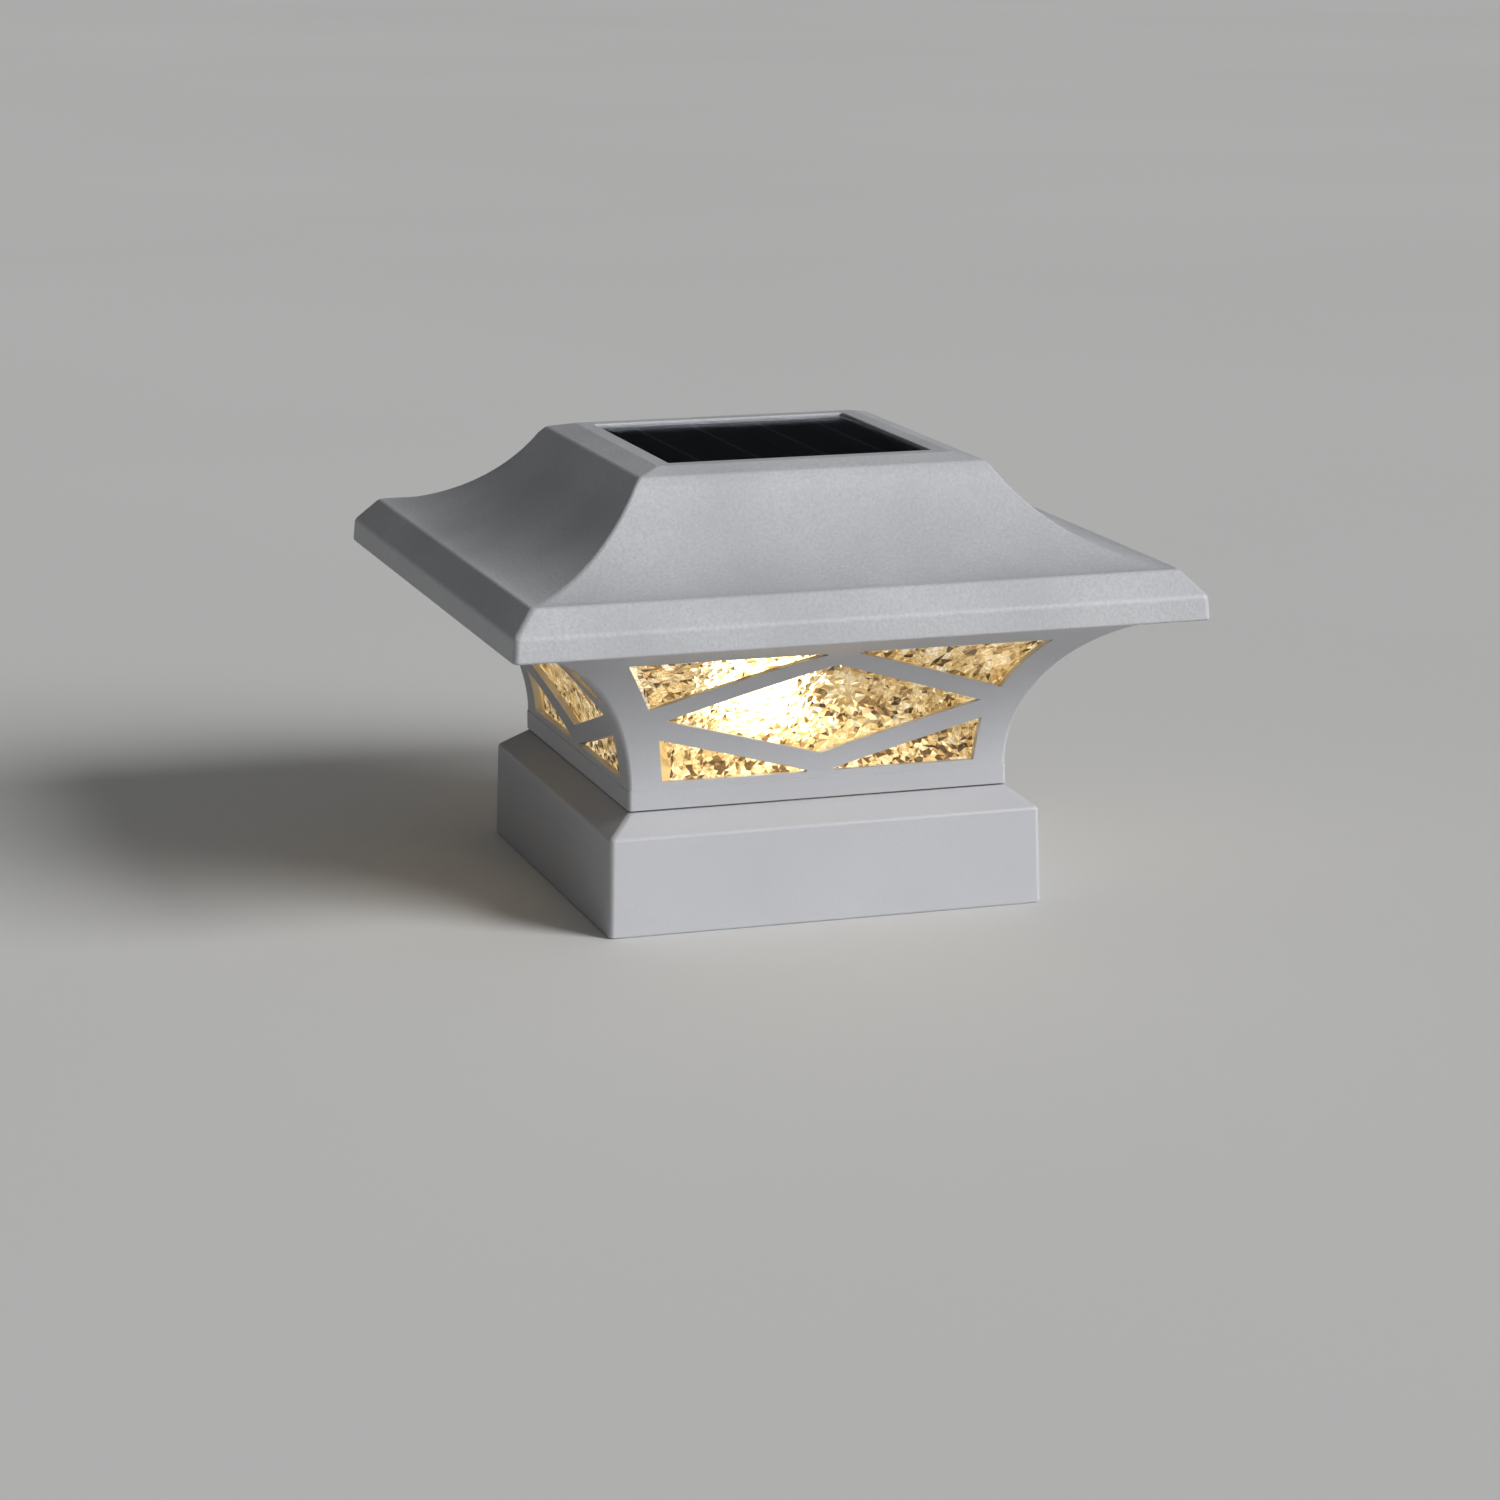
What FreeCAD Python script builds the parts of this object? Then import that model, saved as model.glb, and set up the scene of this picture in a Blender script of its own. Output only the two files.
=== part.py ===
import FreeCAD, Part
import math
import os
import Sketcher

# Solar post cap light for a square fence post.
# The frame: origin at the centre of the skirt's bottom edge, +Z up, the front face towards -Y.
# All sizes are millimetres. A "half" is half the width of a square plan, measured across flats.

DIMS = {
    # Skirt that slips over the post, its sloping shoulder and the chamber inside it.
    "skirt_half": 69.85,
    "skirt_top_half": 69.0,
    "skirt_height": 30.3,
    "shoulder_half": 60.7,
    "shoulder_top": 36.4,
    "socket_half": 65.6,
    "chamber_half": 63.4,
    "chamber_top_half": 56.7,
    "skirt_edge_radius": 1.6,
    # Clearances between pieces, from the tightest fit to the loosest.
    "fit_press": 0.02,
    "fit_hair": 0.05,
    "fit_slip": 0.1,
    "fit_loose": 0.2,
    "fit_clear": 0.3,
    # Mounting plate that rests on the post.
    "plate_half": 65.4,
    "plate_top": 29.8,
    "plate_thick": 2.5,
    "plate_window_half": 32.0,
    "post_screw_place": 38.0,
    "post_screw_hole": 2.25,
    "plate_screw_place": 57.5,
    "plate_screw_radius": 1.5,
    "plate_boss_radius": 3.4,
    "plate_boss_height": 4.4,
    "plate_boss_land": 0.6,
    "cross_slot_long": 1.8,
    "cross_slot_wide": 0.35,
    "cross_slot_deep": 0.8,
    "glow_slot_place": 60.4,
    "glow_slot_half": 20.0,
    "glow_slot_wide": 5.6,
    "glow_flange_thick": 0.8,
    "glow_flange_reach": 1.2,
    "glow_flange_inset": 1.4,
    "glow_flange_overlap": 2.0,
    # Lantern frame: a cove on each side, swept from a vertical foot band.
    "foot_half": 60.7,
    "foot_base": 36.9,
    "cove_base": 43.0,
    "cove_radius": 52.3,
    "frame_wall": 2.4,
    "foot_step": 0.25,
    "flange_half": 104.6,
    "flange_top": 97.6,
    "mouth_half": 98.0,
    "frame_corner_radius": 1.2,
    # Lattice windows, as seen square on to a side.
    "window_foot": 45.1,
    "window_foot_half": 50.0,
    "window_low_waist": 58.8,
    "window_low_waist_half": 51.7,
    "window_low_tip": 4.3,
    "window_high_waist": 69.1,
    "window_high_waist_half": 56.2,
    "window_head": 86.5,
    "window_head_half": 66.95,
    "window_head_tip": 5.1,
    "window_tip_blunt": 0.6,
    "window_side_radius": 110.0,
    "diamond_half": 50.3,
    "diamond_middle": 65.0,
    "diamond_foot": 50.9,
    "diamond_head": 81.6,
    # Lens panels behind the frame.
    "lens_gap": 0.1,
    "lens_thick": 1.8,
    "lens_base": 42.6,
    "lens_head": 92.4,
    "lens_side_gap": 0.3,
    # Floor plate of the lantern, its screws and its locating lugs.
    "floor_half": 58.0,
    "floor_thick": 2.0,
    "floor_slot_place": 50.6,
    "floor_slot_wide": 5.0,
    "lug_outer_half": 56.2,
    "lug_thick": 1.6,
    "lug_wide": 8.0,
    "lug_place": 30.0,
    "lug_drop": 5.2,
    "gusset_place": 53.5,
    "gusset_size": 9.4,
    "gusset_thick": 3.5,
    "floor_screw_radius": 1.0,
    "floor_screw_head": 1.6,
    # Battery housing, door and hinge.
    "housing_half_long": 30.8,
    "housing_half_wide": 9.6,
    "housing_base": 30.4,
    "housing_top": 47.4,
    "housing_wall": 1.4,
    "housing_side_wall": 1.7,
    "housing_flange": 3.2,
    "housing_flange_thick": 1.6,
    "door_base": 28.8,
    "door_thick": 1.4,
    "hinge_across": 11.4,
    "hinge_up": 30.3,
    "knuckle_radius": 1.5,
    "pin_radius": 0.8,
    "pin_half_long": 26.0,
    "lug_arm_rise": 3.6,
    "door_grip_in": 5.0,
    "door_grip_out": 1.5,
    "door_grip_wide": 1.2,
    "door_tongue_half": 5.0,
    "door_tongue_rise": 2.2,
    "pin_play": 0.05,
    "battery_radius": 7.1,
    "battery_long": 48.5,
    "battery_up": 37.7,
    "battery_nose_radius": 2.75,
    "battery_nose_long": 1.5,
    "contact_thick": 0.4,
    "contact_half_wide": 7.0,
    "contact_rise": 1.2,
    "spring_radius": 4.4,
    "spring_wire_radius": 0.5,
    "spring_turns": 3,
    "spring_cone_angle": 10.0,
    # Lamp seat, circuit board, diodes and diffuser sleeve.
    "seat_radius": 18.5,
    "seat_thick": 2.0,
    "seat_rim_wall": 1.6,
    "seat_rim_tall": 2.4,
    "sleeve_radius": 15.5,
    "sleeve_wall": 1.3,
    "sleeve_top": 93.2,
    "board_radius": 13.4,
    "board_thick": 1.6,
    "diode_size": 5.0,
    "diode_thick": 1.6,
    "diode_place": 5.2,
    "diode_dish_radius": 1.6,
    "diode_dish_rim_radius": 2.1,
    "diode_dish_deep": 0.5,
    "wire_radius": 0.6,
    "panel_wire_across": 2.2,
    "panel_wire_place": 17.0,
    "panel_wire_bend_low": 104.0,
    "panel_wire_bend_high": 116.0,
    "panel_wire_bend": 6.0,
    "battery_wire_across": 6.8,
    "battery_wire_exit": 10.0,
    "battery_wire_drop": 0.35,
    "battery_wire_bend": 0.9,
    "switch_wire_across": 12.0,
    "switch_wire_up": 42.6,
    "switch_wire_place": 3.0,
    "switch_wire_bend": 2.0,
    # Ceiling reflector and the screws that hold the roof.
    "ceiling_half": 90.3,
    "ceiling_base": 93.4,
    "ceiling_thick": 2.0,
    "roof_screw_place": 78.0,
    "roof_screw_radius": 1.25,
    "roof_screw_long": 12.5,
    "roof_screw_head": 2.0,
    "roof_screw_head_radius": 2.75,
    "roof_boss_radius": 4.0,
    "roof_boss_tall": 14.0,
    "roof_pilot_deep": 10.0,
    "mouth_pad_reach": 5.0,
    "shoulder_inset": 1.0,
    "shoulder_chamfer": 1.2,
    "wire_hole_place": 10.5,
    "wire_hole_radius": 3.6,
    # Gasket between the frame and the roof.
    "gasket_thick": 1.2,
    "gasket_inset": 1.6,
    # Roof shell.
    "rim_half": 107.95,
    "rim_base": 94.2,
    "rim_top_half": 107.4,
    "rim_top": 101.6,
    "eaves_half": 100.55,
    "eaves_up": 109.1,
    "slope_radius": 59.6,
    "slope_centre_half": 106.8,
    "slope_centre_up": 168.1,
    "slope_foot_half": 98.0,
    "slope_head_half": 57.0,
    "crest_half": 55.0,
    "crest_up": 137.5,
    "border_half": 47.0,
    "roof_top": 139.4,
    "roof_wall": 3.0,
    "eaves_edge_radius": 2.0,
    "cavity_top": 131.8,
    # Solar panel in the top of the roof.
    "recess_half": 41.9,
    "recess_base": 134.3,
    "opening_half": 38.5,
    "panel_half": 41.6,
    "seal_thick": 0.5,
    "backing_thick": 1.6,
    "cell_thick": 0.3,
    "cell_gap": 1.2,
    "cell_half": 39.2,
    "panel_top": 138.6,
    # Slide switch in the floor plate.
    "switch_across": 21.0,
    "switch_half_long": 7.0,
    "switch_half_wide": 3.6,
    "switch_tall": 5.0,
    "slider_place": 2.0,
    "slider_half_long": 1.7,
    "slider_half_wide": 1.5,
    "slider_drop": 3.4,
    "switch_track_end": 1.8,
    "slider_shoe_wide": 0.8,
    "slider_shoe_top": 1.6,
    "slider_rib_wide": 0.4,
}

doc = FreeCAD.newDocument("post_cap_light")


class Size:
    """A length: its number in millimetres and the expression that the document binds."""

    def __init__(self, value, text=None):
        self.value = float(value)
        self.text = text or repr(float(value))

    def __add__(self, other):
        other = size(other)
        return Size(self.value + other.value, f"({self.text} + {other.text})")

    def __sub__(self, other):
        other = size(other)
        return Size(self.value - other.value, f"({self.text} - {other.text})")

    def __rsub__(self, other):
        return size(other) - self

    def __mul__(self, other):
        other = size(other)
        return Size(self.value * other.value, f"({self.text} * {other.text})")

    def __neg__(self):
        return Size(0) - self

    __radd__ = __add__
    __rmul__ = __mul__


def size(value):
    """The value as a Size."""
    return value if isinstance(value, Size) else Size(value)


def root(value):
    """The square root of a Size."""
    return Size(math.sqrt(value.value), f"sqrt({value.text})")


class Dims:
    """The sheet's cells by alias, each as a Size."""

    def __init__(self, table):
        self.sheet = doc.addObject("Spreadsheet::Sheet", "dims")
        for row, (alias, value) in enumerate(table.items(), start=1):
            self.sheet.set(f"A{row}", alias)
            self.sheet.set(f"B{row}", str(value))
            self.sheet.setAlias(f"B{row}", alias)
            setattr(self, alias, Size(value, f"dims.{alias}"))
        doc.recompute()


D = Dims(DIMS)
subparts = []


def bind(thing, name, value):
    """Bind a property of a document object to the sheet."""
    thing.setExpression(name, size(value).text)


def keep(thing, label):
    """Make a document object the sub-part of that label."""
    thing.Label = label
    subparts.append(thing)
    return thing


# ---- Sketches -------------------------------------------------------------------------------

def new_sketch(body, role, lift=0):
    """A sketch on one of the body's origin planes, lifted along that plane's normal."""
    plane = next(feature for feature in body.Origin.OriginFeatures if feature.Role == role)
    sketch = body.newObject("Sketcher::SketchObject", body.Name + "_sketch")
    sketch.AttachmentSupport = [(plane, "")]
    sketch.MapMode = "FlatFace"
    bind(sketch, "AttachmentOffset.Base.z", lift)
    return sketch


def pin_down(sketch, edge, end, across, up):
    """Hold the end of an edge, or a circle's centre, at a place bound to the sheet."""
    for kind, axis, place in (("DistanceX", -2, size(across)), ("DistanceY", -1, size(up))):
        if place.value == 0:
            sketch.addConstraint(Sketcher.Constraint("PointOnObject", edge, end, axis))
        else:
            number = sketch.addConstraint(Sketcher.Constraint(kind, -1, 1, edge, end, place.value))
            bind(sketch, f"Constraints[{number}]", place)


def arc_geometry(start, finish, radius, side):
    """The arc under half a turn from start to finish, its centre to the left for side +1."""
    along = finish - start
    rise = math.sqrt(radius ** 2 - (along.Length / 2) ** 2)
    normal = FreeCAD.Vector(-along.y, along.x, 0).normalize()
    centre = (start + finish) * 0.5 + normal * (rise * side)
    first, last = (start, finish) if side > 0 else (finish, start)
    first_angle = math.atan2(first.y - centre.y, first.x - centre.x)
    last_angle = math.atan2(last.y - centre.y, last.x - centre.x)
    if last_angle < first_angle:
        last_angle += 2 * math.pi
    circle = Part.Circle(centre, FreeCAD.Vector(0, 0, 1), radius)
    return Part.ArcOfCircle(circle, first_angle, last_angle)


def draw_outline(sketch, corners, arcs=None):
    """Draw a closed outline: corners are (across, up), arcs is {edge number: (radius, side)}."""
    arcs = arcs or {}
    points = [FreeCAD.Vector(size(across).value, size(up).value, 0) for across, up in corners]
    starts = []
    finishes = []
    for number, start in enumerate(points):
        finish = points[(number + 1) % len(points)]
        if number in arcs:
            radius, side = arcs[number]
            edge = sketch.addGeometry(arc_geometry(start, finish, size(radius).value, side), False)
            kind = Sketcher.Constraint("Radius", edge, size(radius).value)
            bind(sketch, f"Constraints[{sketch.addConstraint(kind)}]", radius)
            first, last = (1, 2) if side > 0 else (2, 1)
        else:
            edge = sketch.addGeometry(Part.LineSegment(start, finish), False)
            first, last = 1, 2
        starts.append((edge, first))
        finishes.append((edge, last))
    for number, (edge, end) in enumerate(starts):
        sketch.addConstraint(Sketcher.Constraint("Coincident", *finishes[number - 1], edge, end))
        pin_down(sketch, edge, end, *corners[number])


def draw_box(sketch, low_across, low_up, high_across, high_up):
    """Draw an upright rectangle."""
    draw_outline(sketch, [(low_across, low_up), (high_across, low_up),
                          (high_across, high_up), (low_across, high_up)])


def draw_square(sketch, half, across=0, up=0):
    """Draw a square about a middle."""
    draw_box(sketch, across - size(half), up - size(half), across + size(half), up + size(half))


def draw_circle(sketch, across, up, radius):
    """Draw a circle."""
    centre = FreeCAD.Vector(size(across).value, size(up).value, 0)
    circle = Part.Circle(centre, FreeCAD.Vector(0, 0, 1), size(radius).value)
    edge = sketch.addGeometry(circle, False)
    number = sketch.addConstraint(Sketcher.Constraint("Radius", edge, size(radius).value))
    bind(sketch, f"Constraints[{number}]", radius)
    pin_down(sketch, edge, 3, across, up)


def both_halves(points, arcs=None):
    """Close a right-hand half outline, listed from the bottom up, with its mirror image."""
    count = len(points)
    left = [(-size(across), up) for across, up in reversed(points)]
    mirrored = dict(arcs or {})
    for number, arc in (arcs or {}).items():
        mirrored[2 * count - 2 - number] = arc
    return list(points) + left, mirrored


def four_corners(place):
    """The four (x, y) places of a square pattern."""
    return [(place * x, place * y) for x in (-1, 1) for y in (-1, 1)]


# ---- Features of a body ---------------------------------------------------------------------

# How far a trimming cut reaches past the body, and how near counts as the same, all in mm or mm3.
MARGIN = 8
LEVEL_SLACK = 0.05
EDGE_LEAST = 0.5
VOLUME_LEAST = 1e-6
TUBE_SLACK = 0.02


def new_body(name):
    """An empty body."""
    return doc.addObject("PartDesign::Body", name)


def extrude(body, kind, sketch, length, reverse=False, symmetric=False):
    """Pad or pocket a sketch, and check that the feature changed the solid the right way."""
    before = body.Shape.Volume if not body.Shape.isNull() else 0.0
    feature = body.newObject("PartDesign::" + kind, body.Name + "_" + kind.lower())
    feature.Profile = sketch
    feature.SideType = "Symmetric" if symmetric else "One side"
    feature.Reversed = reverse
    bind(feature, "Length", length)
    doc.recompute()
    grown = feature.Shape.Volume - before
    if (kind == "Pad") != (grown > 0) or abs(grown) < VOLUME_LEAST:
        raise RuntimeError(f"{feature.Name} changed the volume by {grown:.3f}")
    return feature


def pad(body, sketch, length, **choices):
    """Add an extruded sketch."""
    return extrude(body, "Pad", sketch, length, **choices)


def pocket(body, sketch, length, **choices):
    """Remove an extruded sketch."""
    return extrude(body, "Pocket", sketch, length, **choices)


def trim_sides(body, points, arcs, reach, top):
    """Cut a body to a half outline as seen along X."""
    corners, all_arcs = both_halves(points, arcs)
    sketch = new_sketch(body, "YZ_Plane")
    draw_box(sketch, -size(reach) - MARGIN, -MARGIN, size(reach) + MARGIN, size(top) + MARGIN)
    draw_outline(sketch, corners, all_arcs)
    return pocket(body, sketch, size(reach) * 2 + MARGIN * 2, symmetric=True)


def square_form(name, points, arcs, reach, top):
    """A body of square plan whose four sides all follow one half outline, with mitred corners."""
    body = new_body(name)
    corners, all_arcs = both_halves(points, arcs)
    sketch = new_sketch(body, "XZ_Plane")
    draw_outline(sketch, corners, all_arcs)
    pad(body, sketch, size(reach) * 2 + MARGIN, symmetric=True)
    trim_sides(body, points, arcs, reach, top)
    return body


def hollow(body, tool):
    """Cut one body out of another."""
    feature = body.newObject("PartDesign::Boolean", body.Name + "_hollow")
    feature.setObjects([tool])
    feature.Type = "Cut"
    doc.recompute()
    return feature


def round_edges(body, radius, chosen):
    """Fillet the edges of the body's tip for which chosen(edge) is true."""
    base = body.Tip
    names = [f"Edge{number}" for number, edge in enumerate(base.Shape.Edges, start=1) if chosen(edge)]
    feature = body.newObject("PartDesign::Fillet", body.Name + "_fillet")
    feature.Base = (base, names)
    bind(feature, "Radius", radius)
    doc.recompute()
    if "Invalid" in feature.State or not feature.Shape.isValid():
        raise RuntimeError(f"{feature.Name} failed on {len(names)} edges")
    return feature


def on_level(edge, up):
    """Whether an edge lies at one height."""
    return edge.BoundBox.ZLength < LEVEL_SLACK and abs(edge.BoundBox.ZMin - up.value) < LEVEL_SLACK


def corner_edge(low, high):
    """A test for the edges that climb along a corner between two heights."""
    def chosen(edge):
        box = edge.BoundBox
        on_corner = abs(abs(box.Center.x) - abs(box.Center.y)) < LEVEL_SLACK and box.ZLength > EDGE_LEAST
        return on_corner and box.ZMin > low.value - LEVEL_SLACK and box.ZMax < high.value + LEVEL_SLACK
    return chosen


# ---- Part primitives ------------------------------------------------------------------------

def block(name, low, high):
    """A box between two corners."""
    box = doc.addObject("Part::Box", name)
    for axis, side, start, finish in zip("xyz", ("Length", "Width", "Height"), low, high):
        bind(box, side, size(finish) - start)
        bind(box, f"Placement.Base.{axis}", start)
    return box


def rod(name, foot, radius, length, lying=False):
    """A cylinder that stands on its foot, or lies along +X from it."""
    cylinder = doc.addObject("Part::Cylinder", name)
    bind(cylinder, "Radius", radius)
    bind(cylinder, "Height", length)
    if lying:
        cylinder.Placement.Rotation = FreeCAD.Rotation(FreeCAD.Vector(0, 1, 0), 90)
    for axis, place in zip("xyz", foot):
        bind(cylinder, f"Placement.Base.{axis}", place)
    return cylinder


def cone(name, foot, low_radius, high_radius, length):
    """A cone that stands on its foot."""
    thing = doc.addObject("Part::Cone", name)
    bind(thing, "Radius1", low_radius)
    bind(thing, "Radius2", high_radius)
    bind(thing, "Height", length)
    for axis, place in zip("xyz", foot):
        bind(thing, f"Placement.Base.{axis}", place)
    return thing


def cut(name, base, tools):
    """Cut one or more objects out of a base."""
    tool = tools[0] if len(tools) == 1 else fuse(name + "_tools", tools)
    thing = doc.addObject("Part::Cut", name)
    thing.Base = base
    thing.Tool = tool
    return thing


def fuse(name, things):
    """Join objects into one solid."""
    thing = doc.addObject("Part::MultiFuse", name)
    thing.Shapes = things
    return thing


def group(name, things):
    """Separate solids under one name."""
    thing = doc.addObject("Part::Compound", name)
    thing.Links = things
    return thing


def wire_run(name, points, radius, bend):
    """A round wire along straight runs joined by tangent arcs."""
    path = []
    start = FreeCAD.Vector(*points[0])
    for before, corner, after in zip(points, points[1:], points[2:]):
        corner = FreeCAD.Vector(*corner)
        back = (FreeCAD.Vector(*before) - corner).normalize()
        ahead = (FreeCAD.Vector(*after) - corner).normalize()
        reach = bend / math.tan(back.getAngle(ahead) / 2)
        middle = (back + ahead).normalize()
        centre_gap = bend / math.sin(back.getAngle(ahead) / 2)
        entry = corner + back * reach
        leave = corner + ahead * reach
        path.append(Part.LineSegment(start, entry).toShape())
        path.append(Part.Arc(entry, corner + middle * (centre_gap - bend), leave).toShape())
        start = leave
    path.append(Part.LineSegment(start, FreeCAD.Vector(*points[-1])).toShape())
    spine = Part.Wire(path)
    first = FreeCAD.Vector(*points[0])
    along = (FreeCAD.Vector(*points[1]) - first).normalize()
    section = Part.Wire(Part.Circle(first, along, radius).toShape())
    thing = doc.addObject("Part::Feature", name)
    thing.Shape = spine.makePipeShell([section], True, True)
    whole = math.pi * radius ** 2 * spine.Length
    if abs(thing.Shape.Volume - whole) > TUBE_SLACK * whole:
        raise RuntimeError(f"{name} is not a full tube")
    return thing


# ---- Base -----------------------------------------------------------------------------------

PLATE_BASE = D.plate_top - D.plate_thick
SIDES = {"right": 0, "back": 90, "left": 180, "front": 270}


def make_base_skirt():
    """Skirt with a sloping shoulder, open below and above, with bosses for the plate's screws."""
    body = square_form("base_skirt", [
        (D.skirt_half, 0),
        (D.skirt_top_half, D.skirt_height),
        (D.shoulder_half, D.shoulder_top),
    ], {}, D.skirt_half, D.shoulder_top)
    corner = corner_edge(Size(0), D.shoulder_top)
    round_edges(body, D.skirt_edge_radius, lambda edge: corner(edge) or on_level(edge, D.skirt_height))
    inside = square_form("skirt_inside", [
        (D.socket_half, -1),
        (D.socket_half, D.plate_top),
        (D.chamber_half, D.plate_top),
        (D.chamber_top_half, D.shoulder_top),
        (D.chamber_top_half, D.shoulder_top + 1),
    ], {}, D.socket_half, D.shoulder_top + 1)
    hollow(body, inside)
    bosses = new_sketch(body, "XY_Plane", D.plate_top)
    for x, y in four_corners(D.plate_screw_place):
        draw_circle(bosses, x, y, D.plate_boss_radius)
    pad(body, bosses, D.plate_boss_height)
    pilots = new_sketch(body, "XY_Plane", D.plate_top)
    for x, y in four_corners(D.plate_screw_place):
        draw_circle(pilots, x, y, D.plate_screw_radius)
    pocket(body, pilots, D.plate_boss_height - D.plate_boss_land, reverse=True)
    keep(body, "base_skirt")


def make_mounting_plate():
    """Flat plate across the skirt, with a square window, screw holes and down-light slots."""
    body = new_body("plate_blank")
    outer = new_sketch(body, "XY_Plane", PLATE_BASE)
    draw_square(outer, D.plate_half)
    draw_square(outer, D.plate_window_half)
    for x, y in four_corners(D.post_screw_place):
        draw_circle(outer, x, y, D.post_screw_hole)
    for x, y in four_corners(D.plate_screw_place):
        draw_circle(outer, x, y, D.plate_screw_radius)
    near = D.glow_slot_place - D.glow_slot_wide * 0.5
    far = D.glow_slot_place + D.glow_slot_wide * 0.5
    draw_box(outer, near, -D.glow_slot_half, far, D.glow_slot_half)
    draw_box(outer, -far, -D.glow_slot_half, -near, D.glow_slot_half)
    draw_box(outer, -D.glow_slot_half, near, D.glow_slot_half, far)
    draw_box(outer, -D.glow_slot_half, -far, D.glow_slot_half, -near)
    pad(body, outer, D.plate_thick)
    sinks = [cone("plate_countersink", (x, y, PLATE_BASE), D.plate_screw_radius * 2, D.plate_screw_radius,
                  D.plate_screw_radius) for x, y in four_corners(D.plate_screw_place)]
    keep(cut("plate_with_sinks", body, sinks), "mounting_plate")


def make_plate_screws():
    """Four countersunk screws that hold the mounting plate in the skirt."""
    screws = []
    for x, y in four_corners(D.plate_screw_place):
        head = cone("plate_screw_head", (x, y, PLATE_BASE), D.plate_screw_radius * 2 - D.fit_slip,
                    D.plate_screw_radius - D.fit_slip, D.plate_screw_radius)
        shank = rod("plate_screw_shank", (x, y, PLATE_BASE), D.plate_screw_radius - D.fit_hair,
                    D.plate_thick + D.plate_boss_height - D.plate_boss_land * 2)
        arms = ((D.cross_slot_long, D.cross_slot_wide), (D.cross_slot_wide, D.cross_slot_long))
        cross = [block("plate_screw_slot", (x - long, y - wide, PLATE_BASE - 1),
                       (x + long, y + wide, PLATE_BASE + D.cross_slot_deep)) for long, wide in arms]
        screws.append(cut("plate_screw", fuse("plate_screw_solid", [head, shank]), cross))
    keep(group("plate_screw_set", screws), "plate_screws")


def make_downlight_lenses():
    """A clear strip in each slot of the mounting plate, with a flange that rests on the plate."""
    slip = D.fit_slip
    near = D.glow_slot_place - D.glow_slot_wide * 0.5
    far = D.glow_slot_place + D.glow_slot_wide * 0.5
    overlap = D.glow_slot_half + D.glow_flange_overlap
    for side, angle in SIDES.items():
        body = new_body("downlight_lens_" + side)
        strip = new_sketch(body, "XY_Plane", PLATE_BASE)
        draw_box(strip, near + slip, slip - D.glow_slot_half, far - slip, D.glow_slot_half - slip)
        pad(body, strip, D.plate_thick)
        flange = new_sketch(body, "XY_Plane", D.plate_top)
        draw_box(flange, near - D.glow_flange_reach, -overlap, far - D.glow_flange_inset, overlap)
        pad(body, flange, D.glow_flange_thick)
        body.Placement.Rotation = FreeCAD.Rotation(FreeCAD.Vector(0, 0, 1), angle)
        keep(body, "downlight_lens_" + side)


# ---- Lantern frame and lenses ---------------------------------------------------------------

COVE_CENTRE = D.foot_half + D.cove_radius


def cove_height(half, radius):
    """Where an arc about the cove's centre reaches a half width."""
    across = COVE_CENTRE - half
    return D.cove_base + root(radius * radius - across * across)


def cove_half(height, radius):
    """The half width of an arc about the cove's centre at a height."""
    up = height - D.cove_base
    return COVE_CENTRE - root(radius * radius - up * up)


def draw_windows(sketch):
    """Four corner windows and the middle diamond of one side."""
    for side in (-1, 1):
        draw_outline(sketch, [
            (D.window_low_tip * side, D.window_foot),
            (D.window_foot_half * side, D.window_foot),
            (D.window_low_waist_half * side, D.window_low_waist),
            (D.window_low_tip * side, D.window_foot + D.window_tip_blunt),
        ])
        draw_outline(sketch, [
            (D.window_high_waist_half * side, D.window_high_waist),
            (D.window_head_half * side, D.window_head),
            (D.window_head_tip * side, D.window_head),
            (D.window_head_tip * side, D.window_head - D.window_tip_blunt),
        ], {0: (D.window_side_radius, -side)})
    draw_outline(sketch, [
        (0, D.diamond_foot),
        (D.diamond_half, D.diamond_middle),
        (0, D.diamond_head),
        (-D.diamond_half, D.diamond_middle),
    ])


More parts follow.
